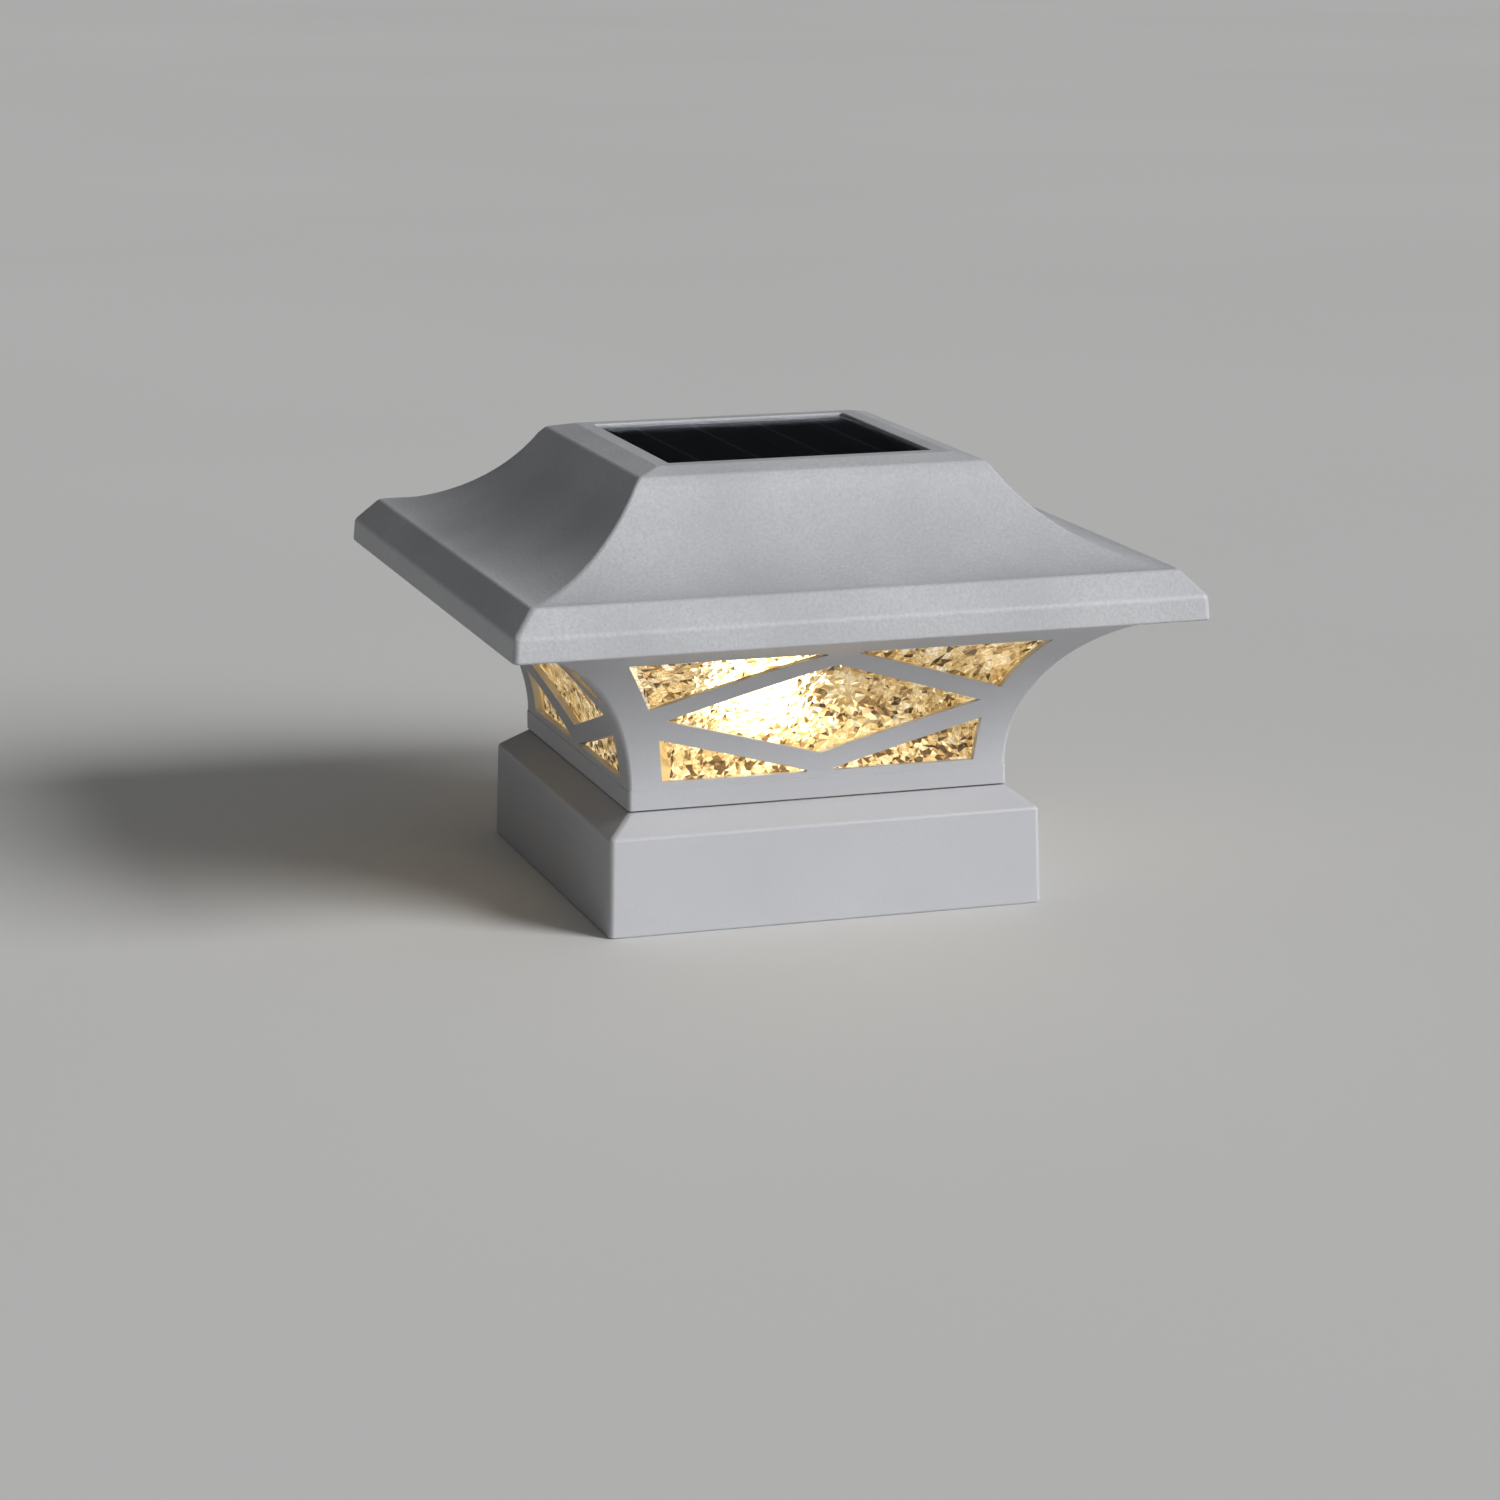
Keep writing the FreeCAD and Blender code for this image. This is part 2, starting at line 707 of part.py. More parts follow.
def make_lantern_frame():
    """Flared frame with a foot band, a lattice on each side, and inner gussets for screws."""
    outer_radius = D.cove_radius
    inner_radius = D.cove_radius + D.frame_wall
    body = square_form("lantern_frame", [
        (D.foot_half + D.foot_step, D.foot_base),
        (D.foot_half + D.foot_step, D.cove_base),
        (D.foot_half, D.cove_base),
        (D.flange_half, cove_height(D.flange_half, outer_radius)),
        (D.flange_half, D.flange_top),
    ], {2: (outer_radius, -1)}, D.flange_half, D.flange_top)
    round_edges(body, D.frame_corner_radius, corner_edge(D.foot_base, D.flange_top - 1))
    inside = square_form("frame_inside", [
        (D.foot_half - D.frame_wall, D.foot_base - 1),
        (D.foot_half - D.frame_wall, D.cove_base),
        (D.mouth_half, cove_height(D.mouth_half, inner_radius)),
        (D.mouth_half, D.flange_top + 1),
    ], {1: (inner_radius, -1)}, D.mouth_half, D.flange_top + 1)
    hollow(body, inside)
    for role in ("XZ_Plane", "YZ_Plane"):
        sketch = new_sketch(body, role)
        draw_windows(sketch)
        pocket(body, sketch, D.flange_half * 2, symmetric=True)
    foot = new_sketch(body, "XY_Plane", D.foot_base + D.floor_thick)
    for x, y in four_corners(D.foot_half - D.frame_wall * 0.5 - D.gusset_size * 0.5):
        draw_square(foot, D.gusset_size * 0.5, x, y)
    pad(body, foot, D.gusset_thick)
    mouth = new_sketch(body, "XY_Plane", D.flange_top)
    mouth_size = D.mouth_half - D.roof_screw_place + D.mouth_pad_reach
    for x, y in four_corners(D.mouth_half + 0.5 - mouth_size * 0.5):
        draw_square(mouth, mouth_size * 0.5, x, y)
    pad(body, mouth, D.ceiling_thick, reverse=True)
    for place, radius in ((D.gusset_place, D.floor_screw_radius), (D.roof_screw_place, D.roof_screw_radius)):
        holes = new_sketch(body, "XY_Plane", D.foot_base)
        for x, y in four_corners(place):
            draw_circle(holes, x, y, radius + D.fit_hair)
        pocket(body, holes, D.flange_top, reverse=True)
    keep(body, "lantern_frame")


def make_lenses():
    """A clear panel behind each side of the frame, following its cove."""
    outer = D.cove_radius + D.frame_wall + D.lens_gap
    inner = outer + D.lens_thick
    side_radius = inner + D.lens_side_gap
    for side, angle in SIDES.items():
        body = new_body("lens_" + side)
        strip = new_sketch(body, "XZ_Plane")
        draw_outline(strip, [
            (COVE_CENTRE - inner, D.lens_base),
            (COVE_CENTRE - outer, D.lens_base),
            (COVE_CENTRE - outer, D.cove_base),
            (cove_half(D.lens_head, outer), D.lens_head),
            (cove_half(D.lens_head, inner), D.lens_head),
            (COVE_CENTRE - inner, D.cove_base),
        ], {2: (outer, -1), 4: (inner, 1)})
        pad(body, strip, D.flange_half * 2, symmetric=True)
        trim_sides(body, [
            (COVE_CENTRE - side_radius, D.lens_base - 1),
            (COVE_CENTRE - side_radius, D.cove_base),
            (cove_half(D.lens_head + 0.5, side_radius), D.lens_head + 0.5),
        ], {1: (side_radius, -1)}, D.flange_half, D.flange_top)
        body.Placement.Rotation = FreeCAD.Rotation(FreeCAD.Vector(0, 0, 1), angle)
        keep(body, "lens_" + side)


# ---- Floor, battery and switch --------------------------------------------------------------

FLOOR_TOP = D.foot_base + D.floor_thick


def make_floor_plate():
    """Floor of the lantern, with slots for the down light and lugs that locate it in the base."""
    body = new_body("floor_plate")
    plan = new_sketch(body, "XY_Plane", D.foot_base)
    draw_square(plan, D.floor_half)
    loose = D.fit_loose
    draw_box(plan, -D.housing_half_long - loose, -D.housing_half_wide - loose,
             D.housing_half_long + loose, D.housing_half_wide + loose)
    slot_long = D.slider_place + D.slider_half_long + loose * 2
    slot_wide = D.slider_half_wide + D.fit_clear
    draw_box(plan, -slot_long, D.switch_across - slot_wide, slot_long, D.switch_across + slot_wide)
    for x, y in four_corners(D.gusset_place):
        draw_circle(plan, x, y, D.floor_screw_radius + loose)
    near = D.floor_slot_place - D.floor_slot_wide * 0.5
    far = D.floor_slot_place + D.floor_slot_wide * 0.5
    draw_box(plan, near, -D.glow_slot_half, far, D.glow_slot_half)
    draw_box(plan, -far, -D.glow_slot_half, -near, D.glow_slot_half)
    draw_box(plan, -D.glow_slot_half, near, D.glow_slot_half, far)
    draw_box(plan, -D.glow_slot_half, -far, D.glow_slot_half, -near)
    pad(body, plan, D.floor_thick)
    lugs = new_sketch(body, "XY_Plane", D.foot_base)
    edge = D.lug_outer_half - D.lug_thick * 0.5
    long, thin = D.lug_wide * 0.5, D.lug_thick * 0.5
    for along in (-D.lug_place, D.lug_place):
        for away in (-edge, edge):
            draw_box(lugs, along - long, away - thin, along + long, away + thin)
            draw_box(lugs, away - thin, along - long, away + thin, along + long)
    pad(body, lugs, D.lug_drop, reverse=True)
    keep(body, "floor_plate")


def make_floor_screws():
    """Four small pan-head screws up through the floor into the frame's gussets."""
    screws = []
    for x, y in four_corners(D.gusset_place):
        head = rod("floor_screw_head", (x, y, D.foot_base - D.floor_screw_head), D.floor_screw_radius * 2,
                   D.floor_screw_head)
        shank = rod("floor_screw_shank", (x, y, D.foot_base - 0.5), D.floor_screw_radius,
                    D.floor_thick + D.gusset_thick - D.fit_loose)
        screws.append(fuse("floor_screw", [head, shank]))
    keep(group("floor_screw_set", screws), "floor_screws")


SLIDER_RIBS = (-1.2, -0.2, 0.8)
LUG_SPANS = ((-26, 6), (-3, 6), (20, 6))
KNUCKLE_SPANS = ((-18, 13), (5, 13))
DOOR_GRIPS = range(-6, 7, 3)
CAVITY_END = D.housing_half_long - D.housing_wall
BATTERY_NOSE = CAVITY_END - D.contact_thick - D.fit_clear
BATTERY_TAIL = BATTERY_NOSE - D.battery_nose_long - D.battery_long


def make_battery_housing():
    """Box open below, with a flange on the floor, hinge lugs and holes for its wires."""
    long, wide = D.housing_half_long, D.housing_half_wide
    shell = block("housing_block", (-long, -wide, D.housing_base), (long, wide, D.housing_top))
    flange = block("housing_flange_block", (-long - D.housing_flange, -wide - D.housing_flange, FLOOR_TOP),
                   (long + D.housing_flange, wide + D.housing_flange, FLOOR_TOP + D.housing_flange_thick))
    cavity = block("housing_cavity",
                   (D.housing_wall - long, D.housing_side_wall - wide, D.housing_base - 1),
                   (long - D.housing_wall, wide - D.housing_side_wall, D.housing_top - D.housing_wall))
    solids = [shell, flange]
    for start, width in LUG_SPANS:
        across = -D.hinge_across
        solids.append(rod("hinge_lug_eye", (start, across, D.hinge_up), D.knuckle_radius, width, lying=True))
        solids.append(block("hinge_lug_arm", (start, across - D.knuckle_radius, D.hinge_up),
                            (start + width, -wide + D.fit_loose, D.hinge_up + D.lug_arm_rise)))
    pin_hole = rod("hinge_pin_hole", (-long, -D.hinge_across, D.hinge_up), D.pin_radius + D.fit_press,
                   long * 2, lying=True)
    holes = [rod("battery_wire_hole", (x, D.battery_wire_across, D.battery_up), D.wire_radius + D.fit_loose,
                 D.housing_top - D.battery_up + 1) for x in (-D.battery_wire_exit, D.battery_wire_exit)]
    keep(cut("battery_housing_cut", fuse("housing_solid", solids), [cavity, pin_hole] + holes),
         "battery_housing")


def make_battery_door():
    """Door under the battery, with two hinge knuckles and a snap tongue."""
    across = -D.hinge_across
    door_top = D.door_base + D.door_thick
    plate = block("door_plate", (-D.housing_half_long, D.fit_loose - D.housing_half_wide, D.door_base),
                  (D.housing_half_long, D.housing_half_wide, door_top))
    grips = [block("door_grip", (x, D.housing_half_wide - D.door_grip_in, D.door_base - D.fit_slip),
                   (D.door_grip_wide + x, D.housing_half_wide - D.door_grip_out, D.door_base + 0.5))
             for x in DOOR_GRIPS]
    tongue_face = D.housing_half_wide - D.housing_side_wall - D.fit_clear
    tongue = block("door_tongue", (-D.door_tongue_half, tongue_face - 1, door_top - D.fit_loose),
                   (D.door_tongue_half, tongue_face, door_top + D.door_tongue_rise))
    solids = [cut("door_gripped", plate, grips), tongue]
    for start, width in KNUCKLE_SPANS:
        solids.append(rod("door_knuckle", (start, across, D.hinge_up), D.knuckle_radius, width, lying=True))
        solids.append(block("door_arm", (start, across, D.door_base),
                            (start + width, D.fit_loose * 3 - D.housing_half_wide, door_top)))
    bore = rod("door_bore", (-D.housing_half_long, across, D.hinge_up), D.pin_radius + D.pin_play,
               D.housing_half_long * 2, lying=True)
    keep(cut("battery_door_cut", fuse("door_solid", solids), [bore]), "battery_door")


def make_hinge_pin():
    """Steel pin through the housing's lugs and the door's knuckles."""
    pin = rod("door_hinge_pin_rod", (-D.pin_half_long, -D.hinge_across, D.hinge_up), D.pin_radius,
              D.pin_half_long * 2, lying=True)
    keep(pin, "door_hinge_pin")


def make_battery():
    """One rechargeable round cell, lying along X, with its nose towards +X."""
    case = rod("battery_case", (BATTERY_TAIL, 0, D.battery_up), D.battery_radius, D.battery_long, lying=True)
    nose = rod("battery_nose", (BATTERY_NOSE - D.battery_nose_long - 0.5, 0, D.battery_up),
               D.battery_nose_radius, D.battery_nose_long + 0.5, lying=True)
    keep(fuse("battery_solid", [case, nose]), "battery")


def make_contacts():
    """Nickel plate at each end of the battery, the negative one with its conical spring."""
    low, high = D.housing_base + D.contact_rise, D.housing_top - D.housing_wall - D.fit_loose
    half = D.contact_half_wide
    keep(block("positive_plate", (CAVITY_END - D.contact_thick, -half, low), (CAVITY_END, half, high)),
         "positive_contact")
    keep(block("negative_plate", (-CAVITY_END, -half, low), (-CAVITY_END + D.contact_thick, half, high)),
         "negative_contact")
    wire = DIMS["spring_wire_radius"]
    radius = DIMS["spring_radius"]
    start = DIMS["contact_thick"] - CAVITY_END.value + wire
    length = BATTERY_TAIL.value - wire - start
    pitch = length / DIMS["spring_turns"]
    helix = Part.makeHelix(pitch, length, radius, -DIMS["spring_cone_angle"])
    along = FreeCAD.Vector(0, 2 * math.pi * radius, pitch)
    section = Part.Wire(Part.Circle(FreeCAD.Vector(radius, 0, 0), along, wire).toShape())
    spring = doc.addObject("Part::Feature", "battery_spring")
    spring.Shape = Part.Wire(helix.Edges).makePipeShell([section], True, True)
    spring.Placement = FreeCAD.Placement(FreeCAD.Vector(start, 0, DIMS["battery_up"]),
                                         FreeCAD.Rotation(FreeCAD.Vector(0, 1, 0), 90))
    keep(spring, "battery_spring")


def make_switch():
    """Slide switch on the floor, its slider reaching down through the floor's slot."""
    x_half, y_half = D.switch_half_long, D.switch_half_wide
    across = D.switch_across
    case = block("switch_case", (-x_half, across - y_half, FLOOR_TOP),
                 (x_half, across + y_half, FLOOR_TOP + D.switch_tall))
    end, side = D.switch_track_end, D.slider_shoe_wide
    track = block("switch_track", (end - x_half, across - y_half + side, FLOOR_TOP - 1),
                  (x_half - end, across + y_half - side, FLOOR_TOP + 2))
    keep(cut("switch_case_cut", case, [track]), "switch_body")
    long, wide = D.slider_half_long, D.slider_half_wide
    middle = D.slider_place
    stem = block("slider_stem", (middle - long, across - wide, D.foot_base - D.slider_drop),
                 (middle + long, across + wide, FLOOR_TOP + 1))
    shoe = block("slider_shoe", (middle - long - 1, across - wide - side, FLOOR_TOP + D.fit_clear),
                 (middle + long + 1, across + wide + side, FLOOR_TOP + D.slider_shoe_top))
    rib = D.slider_rib_wide
    ribs = [block("slider_rib", (middle + x, across - wide - 1, D.foot_base - D.slider_drop - 1),
                  (middle + x + rib, across + wide + 1, D.foot_base - D.slider_drop + rib))
            for x in SLIDER_RIBS]
    keep(cut("switch_slider_cut", fuse("slider_solid", [stem, shoe]), ribs), "switch_slider")


# ---- Lamp -----------------------------------------------------------------------------------

SEAT_TOP = D.housing_top + D.seat_thick
BOARD_TOP = SEAT_TOP + D.board_thick


def wire_places():
    """Where wires come up through the seat and the board, as (x, y)."""
    battery = [(x, D.battery_wire_across) for x in (-D.battery_wire_exit, D.battery_wire_exit)]
    switch = [(x, D.switch_wire_across) for x in (-D.switch_wire_place, D.switch_wire_place)]
    return battery + switch


def make_lamp_seat():
    """Round white seat on the battery housing, with a rim round the diffuser sleeve."""
    body = new_body("lamp_seat")
    disc = new_sketch(body, "XY_Plane", D.housing_top)
    draw_circle(disc, 0, 0, D.seat_radius)
    for x, y in wire_places():
        draw_circle(disc, x, y, D.wire_radius + D.fit_loose)
    pad(body, disc, D.seat_thick)
    rim = new_sketch(body, "XY_Plane", SEAT_TOP)
    draw_circle(rim, 0, 0, D.sleeve_radius + D.seat_rim_wall)
    draw_circle(rim, 0, 0, D.sleeve_radius + D.fit_slip)
    pad(body, rim, D.seat_rim_tall)
    keep(body, "lamp_seat")


def make_board():
    """Round circuit board with holes for the wires, and its five diodes."""
    body = new_body("circuit_board")
    disc = new_sketch(body, "XY_Plane", SEAT_TOP)
    draw_circle(disc, 0, 0, D.board_radius)
    for x, y in wire_places():
        draw_circle(disc, x, y, D.wire_radius + D.fit_slip)
    pad(body, disc, D.board_thick)
    keep(body, "circuit_board")
    half = D.diode_size * 0.5
    diode_top = BOARD_TOP + D.diode_thick
    diodes = []
    for x, y in [(size(0), size(0))] + four_corners(D.diode_place):
        case = block("diode_case", (x - half, y - half, BOARD_TOP), (x + half, y + half, diode_top))
        dish = cone("diode_dish", (x, y, diode_top - D.diode_dish_deep), D.diode_dish_radius,
                    D.diode_dish_rim_radius, D.diode_dish_deep + D.fit_slip)
        diodes.append(cut("diode", case, [dish]))
    keep(group("diode_set", diodes), "led_chips")


def make_diffuser_sleeve():
    """Frosted tube from the seat to the ceiling: the column that glows."""
    body = new_body("diffuser_sleeve")
    ring = new_sketch(body, "XY_Plane", SEAT_TOP)
    draw_circle(ring, 0, 0, D.sleeve_radius)
    draw_circle(ring, 0, 0, D.sleeve_radius - D.sleeve_wall)
    pad(body, ring, D.sleeve_top - SEAT_TOP)
    keep(body, "diffuser_sleeve")


def make_wires():
    """Wires from the solar panel, the battery contacts and the switch to the board."""
    radius = DIMS["wire_radius"]
    top = BOARD_TOP.value
    backing = PANEL_BASE.value
    hole = DIMS["wire_hole_place"]
    place = DIMS["panel_wire_place"]
    for name, y in (("panel_wire_positive", DIMS["panel_wire_across"]),
                    ("panel_wire_negative", -DIMS["panel_wire_across"])):
        points = [(hole, y, top), (hole, y, DIMS["panel_wire_bend_low"]),
                  (place, y * 2, DIMS["panel_wire_bend_high"]), (place, y * 2, backing)]
        keep(wire_run(name, points, radius, DIMS["panel_wire_bend"]), name)
    end = CAVITY_END.value - DIMS["contact_thick"]
    level = DIMS["housing_top"] - DIMS["housing_wall"] - radius - DIMS["battery_wire_drop"]
    across = DIMS["battery_wire_across"]
    rise = DIMS["battery_wire_exit"]
    battery = [wire_run("battery_wire", [(end * side, across, level), (rise * side, across, level),
                                         (rise * side, across, top)], radius, DIMS["battery_wire_bend"])
               for side in (-1, 1)]
    keep(group("battery_wire_pair", battery), "battery_wires")
    face = DIMS["switch_across"] - DIMS["switch_half_wide"]
    across = DIMS["switch_wire_across"]
    level = DIMS["switch_wire_up"]
    switch = [wire_run("switch_wire", [(x, face, level), (x, across, level), (x, across, top)],
                       radius, DIMS["switch_wire_bend"])
              for x in (-DIMS["switch_wire_place"], DIMS["switch_wire_place"])]
    keep(group("switch_wire_pair", switch), "switch_wires")


# ---- Ceiling and roof -----------------------------------------------------------------------

def make_ceiling_reflector():
    """White plate above the lenses, with holes for the roof screws and the panel's wires."""
    body = new_body("ceiling_reflector")
    plan = new_sketch(body, "XY_Plane", D.ceiling_base)
    draw_square(plan, D.ceiling_half)
    draw_circle(plan, D.wire_hole_place, 0, D.wire_hole_radius)
    for x, y in four_corners(D.roof_screw_place):
        draw_circle(plan, x, y, D.roof_screw_radius + D.fit_clear)
    pad(body, plan, D.ceiling_thick)
    keep(body, "ceiling_reflector")


def make_roof_screws():
    """Four pan-head screws up through the ceiling and the frame into the roof's bosses."""
    screws = []
    for x, y in four_corners(D.roof_screw_place):
        head = rod("roof_screw_head", (x, y, D.ceiling_base - D.roof_screw_head), D.roof_screw_head_radius,
                   D.roof_screw_head)
        shank = rod("roof_screw_shank", (x, y, D.ceiling_base - 0.5), D.roof_screw_radius, D.roof_screw_long)
        screws.append(fuse("roof_screw", [head, shank]))
    keep(group("roof_screw_set", screws), "roof_screws")


def make_roof_gasket():
    """Square foam ring between the frame's flange and the roof."""
    body = new_body("roof_gasket")
    plan = new_sketch(body, "XY_Plane", D.flange_top)
    draw_square(plan, D.flange_half - D.fit_clear)
    draw_square(plan, D.mouth_half + D.gasket_inset)
    pad(body, plan, D.gasket_thick)
    keep(body, "roof_gasket")


def slope_half(up, radius):
    """The half width of an arc about the roof slope's centre at a height."""
    rise = D.slope_centre_up - up
    return D.slope_centre_half - root(radius * radius - rise * rise)


def slope_height(half, radius):
    """The height of an arc about the roof slope's centre at a half width."""
    across = D.slope_centre_half - half
    return D.slope_centre_up - root(radius * radius - across * across)


def make_roof_shell():
    """Concave hipped roof with a deep rim, a chamfer, a crest and a recess for the panel."""
    body = square_form("roof_shell", [
        (D.rim_half, D.rim_base),
        (D.rim_top_half, D.rim_top),
        (D.eaves_half, D.eaves_up),
        (D.slope_foot_half, slope_height(D.slope_foot_half, D.slope_radius)),
        (D.slope_head_half, slope_height(D.slope_head_half, D.slope_radius)),
        (D.crest_half, D.crest_up),
        (D.border_half, D.roof_top),
    ], {3: (D.slope_radius, -1)}, D.rim_half, D.roof_top)
    corner = corner_edge(D.rim_base, D.eaves_up)
    round_edges(body, D.eaves_edge_radius,
                lambda edge: corner(edge) or on_level(edge, D.rim_top) or on_level(edge, D.eaves_up))
    inner_radius = D.slope_radius + D.roof_wall
    rim_inner = D.rim_half - D.roof_wall
    ledge = D.flange_top + D.gasket_thick
    shoulder = D.mouth_half - D.shoulder_inset
    inside = square_form("roof_inside", [
        (rim_inner, D.rim_base - 1),
        (rim_inner, ledge),
        (shoulder + D.shoulder_chamfer, ledge),
        (shoulder, slope_height(shoulder, inner_radius)),
        (slope_half(D.cavity_top, inner_radius), D.cavity_top),
    ], {3: (inner_radius, -1)}, D.rim_half, D.cavity_top)
    hollow(body, inside)
    recess = new_sketch(body, "XY_Plane", D.roof_top)
    draw_square(recess, D.recess_half)
    pocket(body, recess, D.roof_top - D.recess_base)
    opening = new_sketch(body, "XY_Plane", D.roof_top)
    draw_square(opening, D.opening_half)
    pocket(body, opening, D.roof_top - D.cavity_top + 1)
    bosses = new_sketch(body, "XY_Plane", D.flange_top + D.fit_loose)
    for x, y in four_corners(D.roof_screw_place):
        draw_circle(bosses, x, y, D.roof_boss_radius)
    pad(body, bosses, D.roof_boss_tall)
    pilots = new_sketch(body, "XY_Plane", D.flange_top + D.fit_loose)
    for x, y in four_corners(D.roof_screw_place):
        draw_circle(pilots, x, y, D.roof_screw_radius + D.fit_hair)
    pocket(body, pilots, D.roof_pilot_deep, reverse=True)
    keep(body, "roof_shell")


# ---- Solar panel ----------------------------------------------------------------------------

PANEL_BASE = D.recess_base + D.seal_thick
COVER_BASE = PANEL_BASE + D.backing_thick


def make_solar_panel():
    """Seal, backing board, two cells and a clear cover, stacked in the roof's recess."""
    seal = new_body("panel_seal")
    ring = new_sketch(seal, "XY_Plane", D.recess_base)
    draw_square(ring, D.panel_half)
    draw_square(ring, D.opening_half + D.fit_clear)
    pad(seal, ring, D.seal_thick)
    keep(seal, "panel_seal")
    backing = new_body("solar_backing")
    board = new_sketch(backing, "XY_Plane", PANEL_BASE)
    draw_square(board, D.panel_half)
    pad(backing, board, D.backing_thick)
    keep(backing, "solar_backing")
    for name, low, high in (("solar_cell_left", -D.cell_half, -D.cell_gap),
                            ("solar_cell_right", D.cell_gap, D.cell_half)):
        keep(block(name + "_wafer", (low, -D.cell_half, COVER_BASE),
                   (high, D.cell_half, COVER_BASE + D.cell_thick)), name)
    cover = new_body("solar_cover")
    slab = new_sketch(cover, "XY_Plane", COVER_BASE)
    draw_square(slab, D.panel_half)
    pad(cover, slab, D.panel_top - COVER_BASE)
    pockets = new_sketch(cover, "XY_Plane", COVER_BASE)
    play = D.fit_hair
    for low, high in ((-D.cell_half, -D.cell_gap), (D.cell_gap, D.cell_half)):
        draw_box(pockets, low - play, -D.cell_half - play, high + play, D.cell_half + play)
    pocket(cover, pockets, D.cell_thick + play, reverse=True)
    keep(cover, "solar_cover")


# ---- The whole ------------------------------------------------------------------------------

def check_document():
    """Stop if any object failed or a sub-part has no sound shape."""
    for thing in doc.Objects:
        if "Invalid" in thing.State or "Error" in thing.State:
            raise RuntimeError(f"{thing.Name} is {thing.State}")
    for thing in subparts:
        if thing.Shape.isNull() or not thing.Shape.isValid() or thing.Shape.Volume <= 0:
            raise RuntimeError(f"{thing.Label} has no sound shape")


def main():
    """Build every sub-part, check the document and write one file for each sub-part."""
    for make in (make_base_skirt, make_mounting_plate, make_plate_screws, make_downlight_lenses,
                 make_lantern_frame, make_lenses, make_floor_plate, make_floor_screws,
                 make_battery_housing, make_battery_door, make_hinge_pin, make_battery,
                 make_contacts, make_switch, make_lamp_seat, make_board, make_diffuser_sleeve,
                 make_wires, make_ceiling_reflector, make_roof_screws, make_roof_gasket,
                 make_roof_shell, make_solar_panel):
        make()
    doc.recompute()
    check_document()
    os.makedirs("parts", exist_ok=True)
    for thing in subparts:
        thing.Shape.exportStep(f"parts/{thing.Label}.step")
        box = thing.Shape.BoundBox
        print(f"{thing.Label:24s} {len(thing.Shape.Solids)} solid(s) {thing.Shape.Volume:10.1f} mm3 "
              f"z {box.ZMin:7.2f} to {box.ZMax:7.2f}")


main()
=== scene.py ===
"""Looks of a solar post cap light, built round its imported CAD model."""

import logging
import math
import random
from dataclasses import dataclass, field
from enum import Enum
from typing import Iterable

import bpy
from mathutils import Matrix, Vector, noise


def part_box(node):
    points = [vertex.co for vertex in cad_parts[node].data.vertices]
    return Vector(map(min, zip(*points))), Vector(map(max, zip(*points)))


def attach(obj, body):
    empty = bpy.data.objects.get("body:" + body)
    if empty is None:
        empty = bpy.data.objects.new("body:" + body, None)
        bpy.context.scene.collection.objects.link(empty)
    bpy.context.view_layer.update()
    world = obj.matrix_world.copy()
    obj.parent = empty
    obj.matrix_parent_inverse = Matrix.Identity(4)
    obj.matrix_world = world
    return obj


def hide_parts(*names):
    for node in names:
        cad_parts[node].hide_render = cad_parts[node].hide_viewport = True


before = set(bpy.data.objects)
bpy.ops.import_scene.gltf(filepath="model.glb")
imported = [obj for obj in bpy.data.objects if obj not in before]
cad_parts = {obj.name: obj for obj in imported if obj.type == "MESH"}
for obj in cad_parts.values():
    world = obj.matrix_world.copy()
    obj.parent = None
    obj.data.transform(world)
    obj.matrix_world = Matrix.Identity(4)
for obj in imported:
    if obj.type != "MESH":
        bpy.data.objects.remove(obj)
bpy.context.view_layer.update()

LOG = logging.getLogger("post_cap_light")
MM = 0.001
MERGE_NEAR = 0.002 * MM
Section = list[tuple[float, float]]


class Side(Enum):
    """The four sides of the lantern, each with its turn about +Z from the front, in degrees."""

    FRONT = 0
    RIGHT = 90
    BACK = 180
    LEFT = 270


class Body(Enum):
    """The CAD bodies that pieces ride on."""

    BASE = "base"
    LANTERN = "lantern"


# ---- Colour and nodes -----------------------------------------------------------------------

def srgb(code: str) -> tuple[float, float, float, float]:
    """Turn an sRGB hex colour to linear.

    Args:
        code: six hex digits, with or without a leading #.

    Returns:
        Red, green and blue in linear light, and an alpha of 1.
    """
    digits = code.lstrip("#")
    parts = [int(digits[at:at + 2], 16) / 255 for at in (0, 2, 4)]
    red, green, blue = (p / 12.92 if p <= 0.04045 else ((p + 0.055) / 1.055) ** 2.4 for p in parts)
    return red, green, blue, 1.0


def add_node(tree: bpy.types.NodeTree, kind: str, inputs: dict | None = None, **settings) -> bpy.types.Node:
    """Add a node with its settings, input values and links.

    Args:
        tree: the tree that takes the node.
        kind: the node's type name.
        inputs: input name or number to a value, or to an output socket to link.
        settings: the node's own properties.

    Returns:
        The new node.
    """
    node = tree.nodes.new(kind)
    for name, value in settings.items():
        setattr(node, name, value)
    for name, value in (inputs or {}).items():
        if isinstance(value, bpy.types.NodeSocket):
            tree.links.new(value, node.inputs[name])
        else:
            node.inputs[name].default_value = value
    return node


def new_material(name: str) -> tuple[bpy.types.Material, bpy.types.NodeTree]:
    """Make an empty node material.

    Args:
        name: the finish's name.

    Returns:
        The material and its node tree.
    """
    material = bpy.data.materials.new(name)
    material.use_nodes = True
    material.node_tree.nodes.clear()
    return material, material.node_tree


def close_material(tree: bpy.types.NodeTree, inputs: dict) -> None:
    """Finish a tree with one Principled shader.

    Args:
        tree: the tree to finish.
        inputs: the shader's inputs, as add_node takes them.
    """
    shader = add_node(tree, "ShaderNodeBsdfPrincipled", inputs)
    add_node(tree, "ShaderNodeOutputMaterial", {"Surface": shader.outputs["BSDF"]})


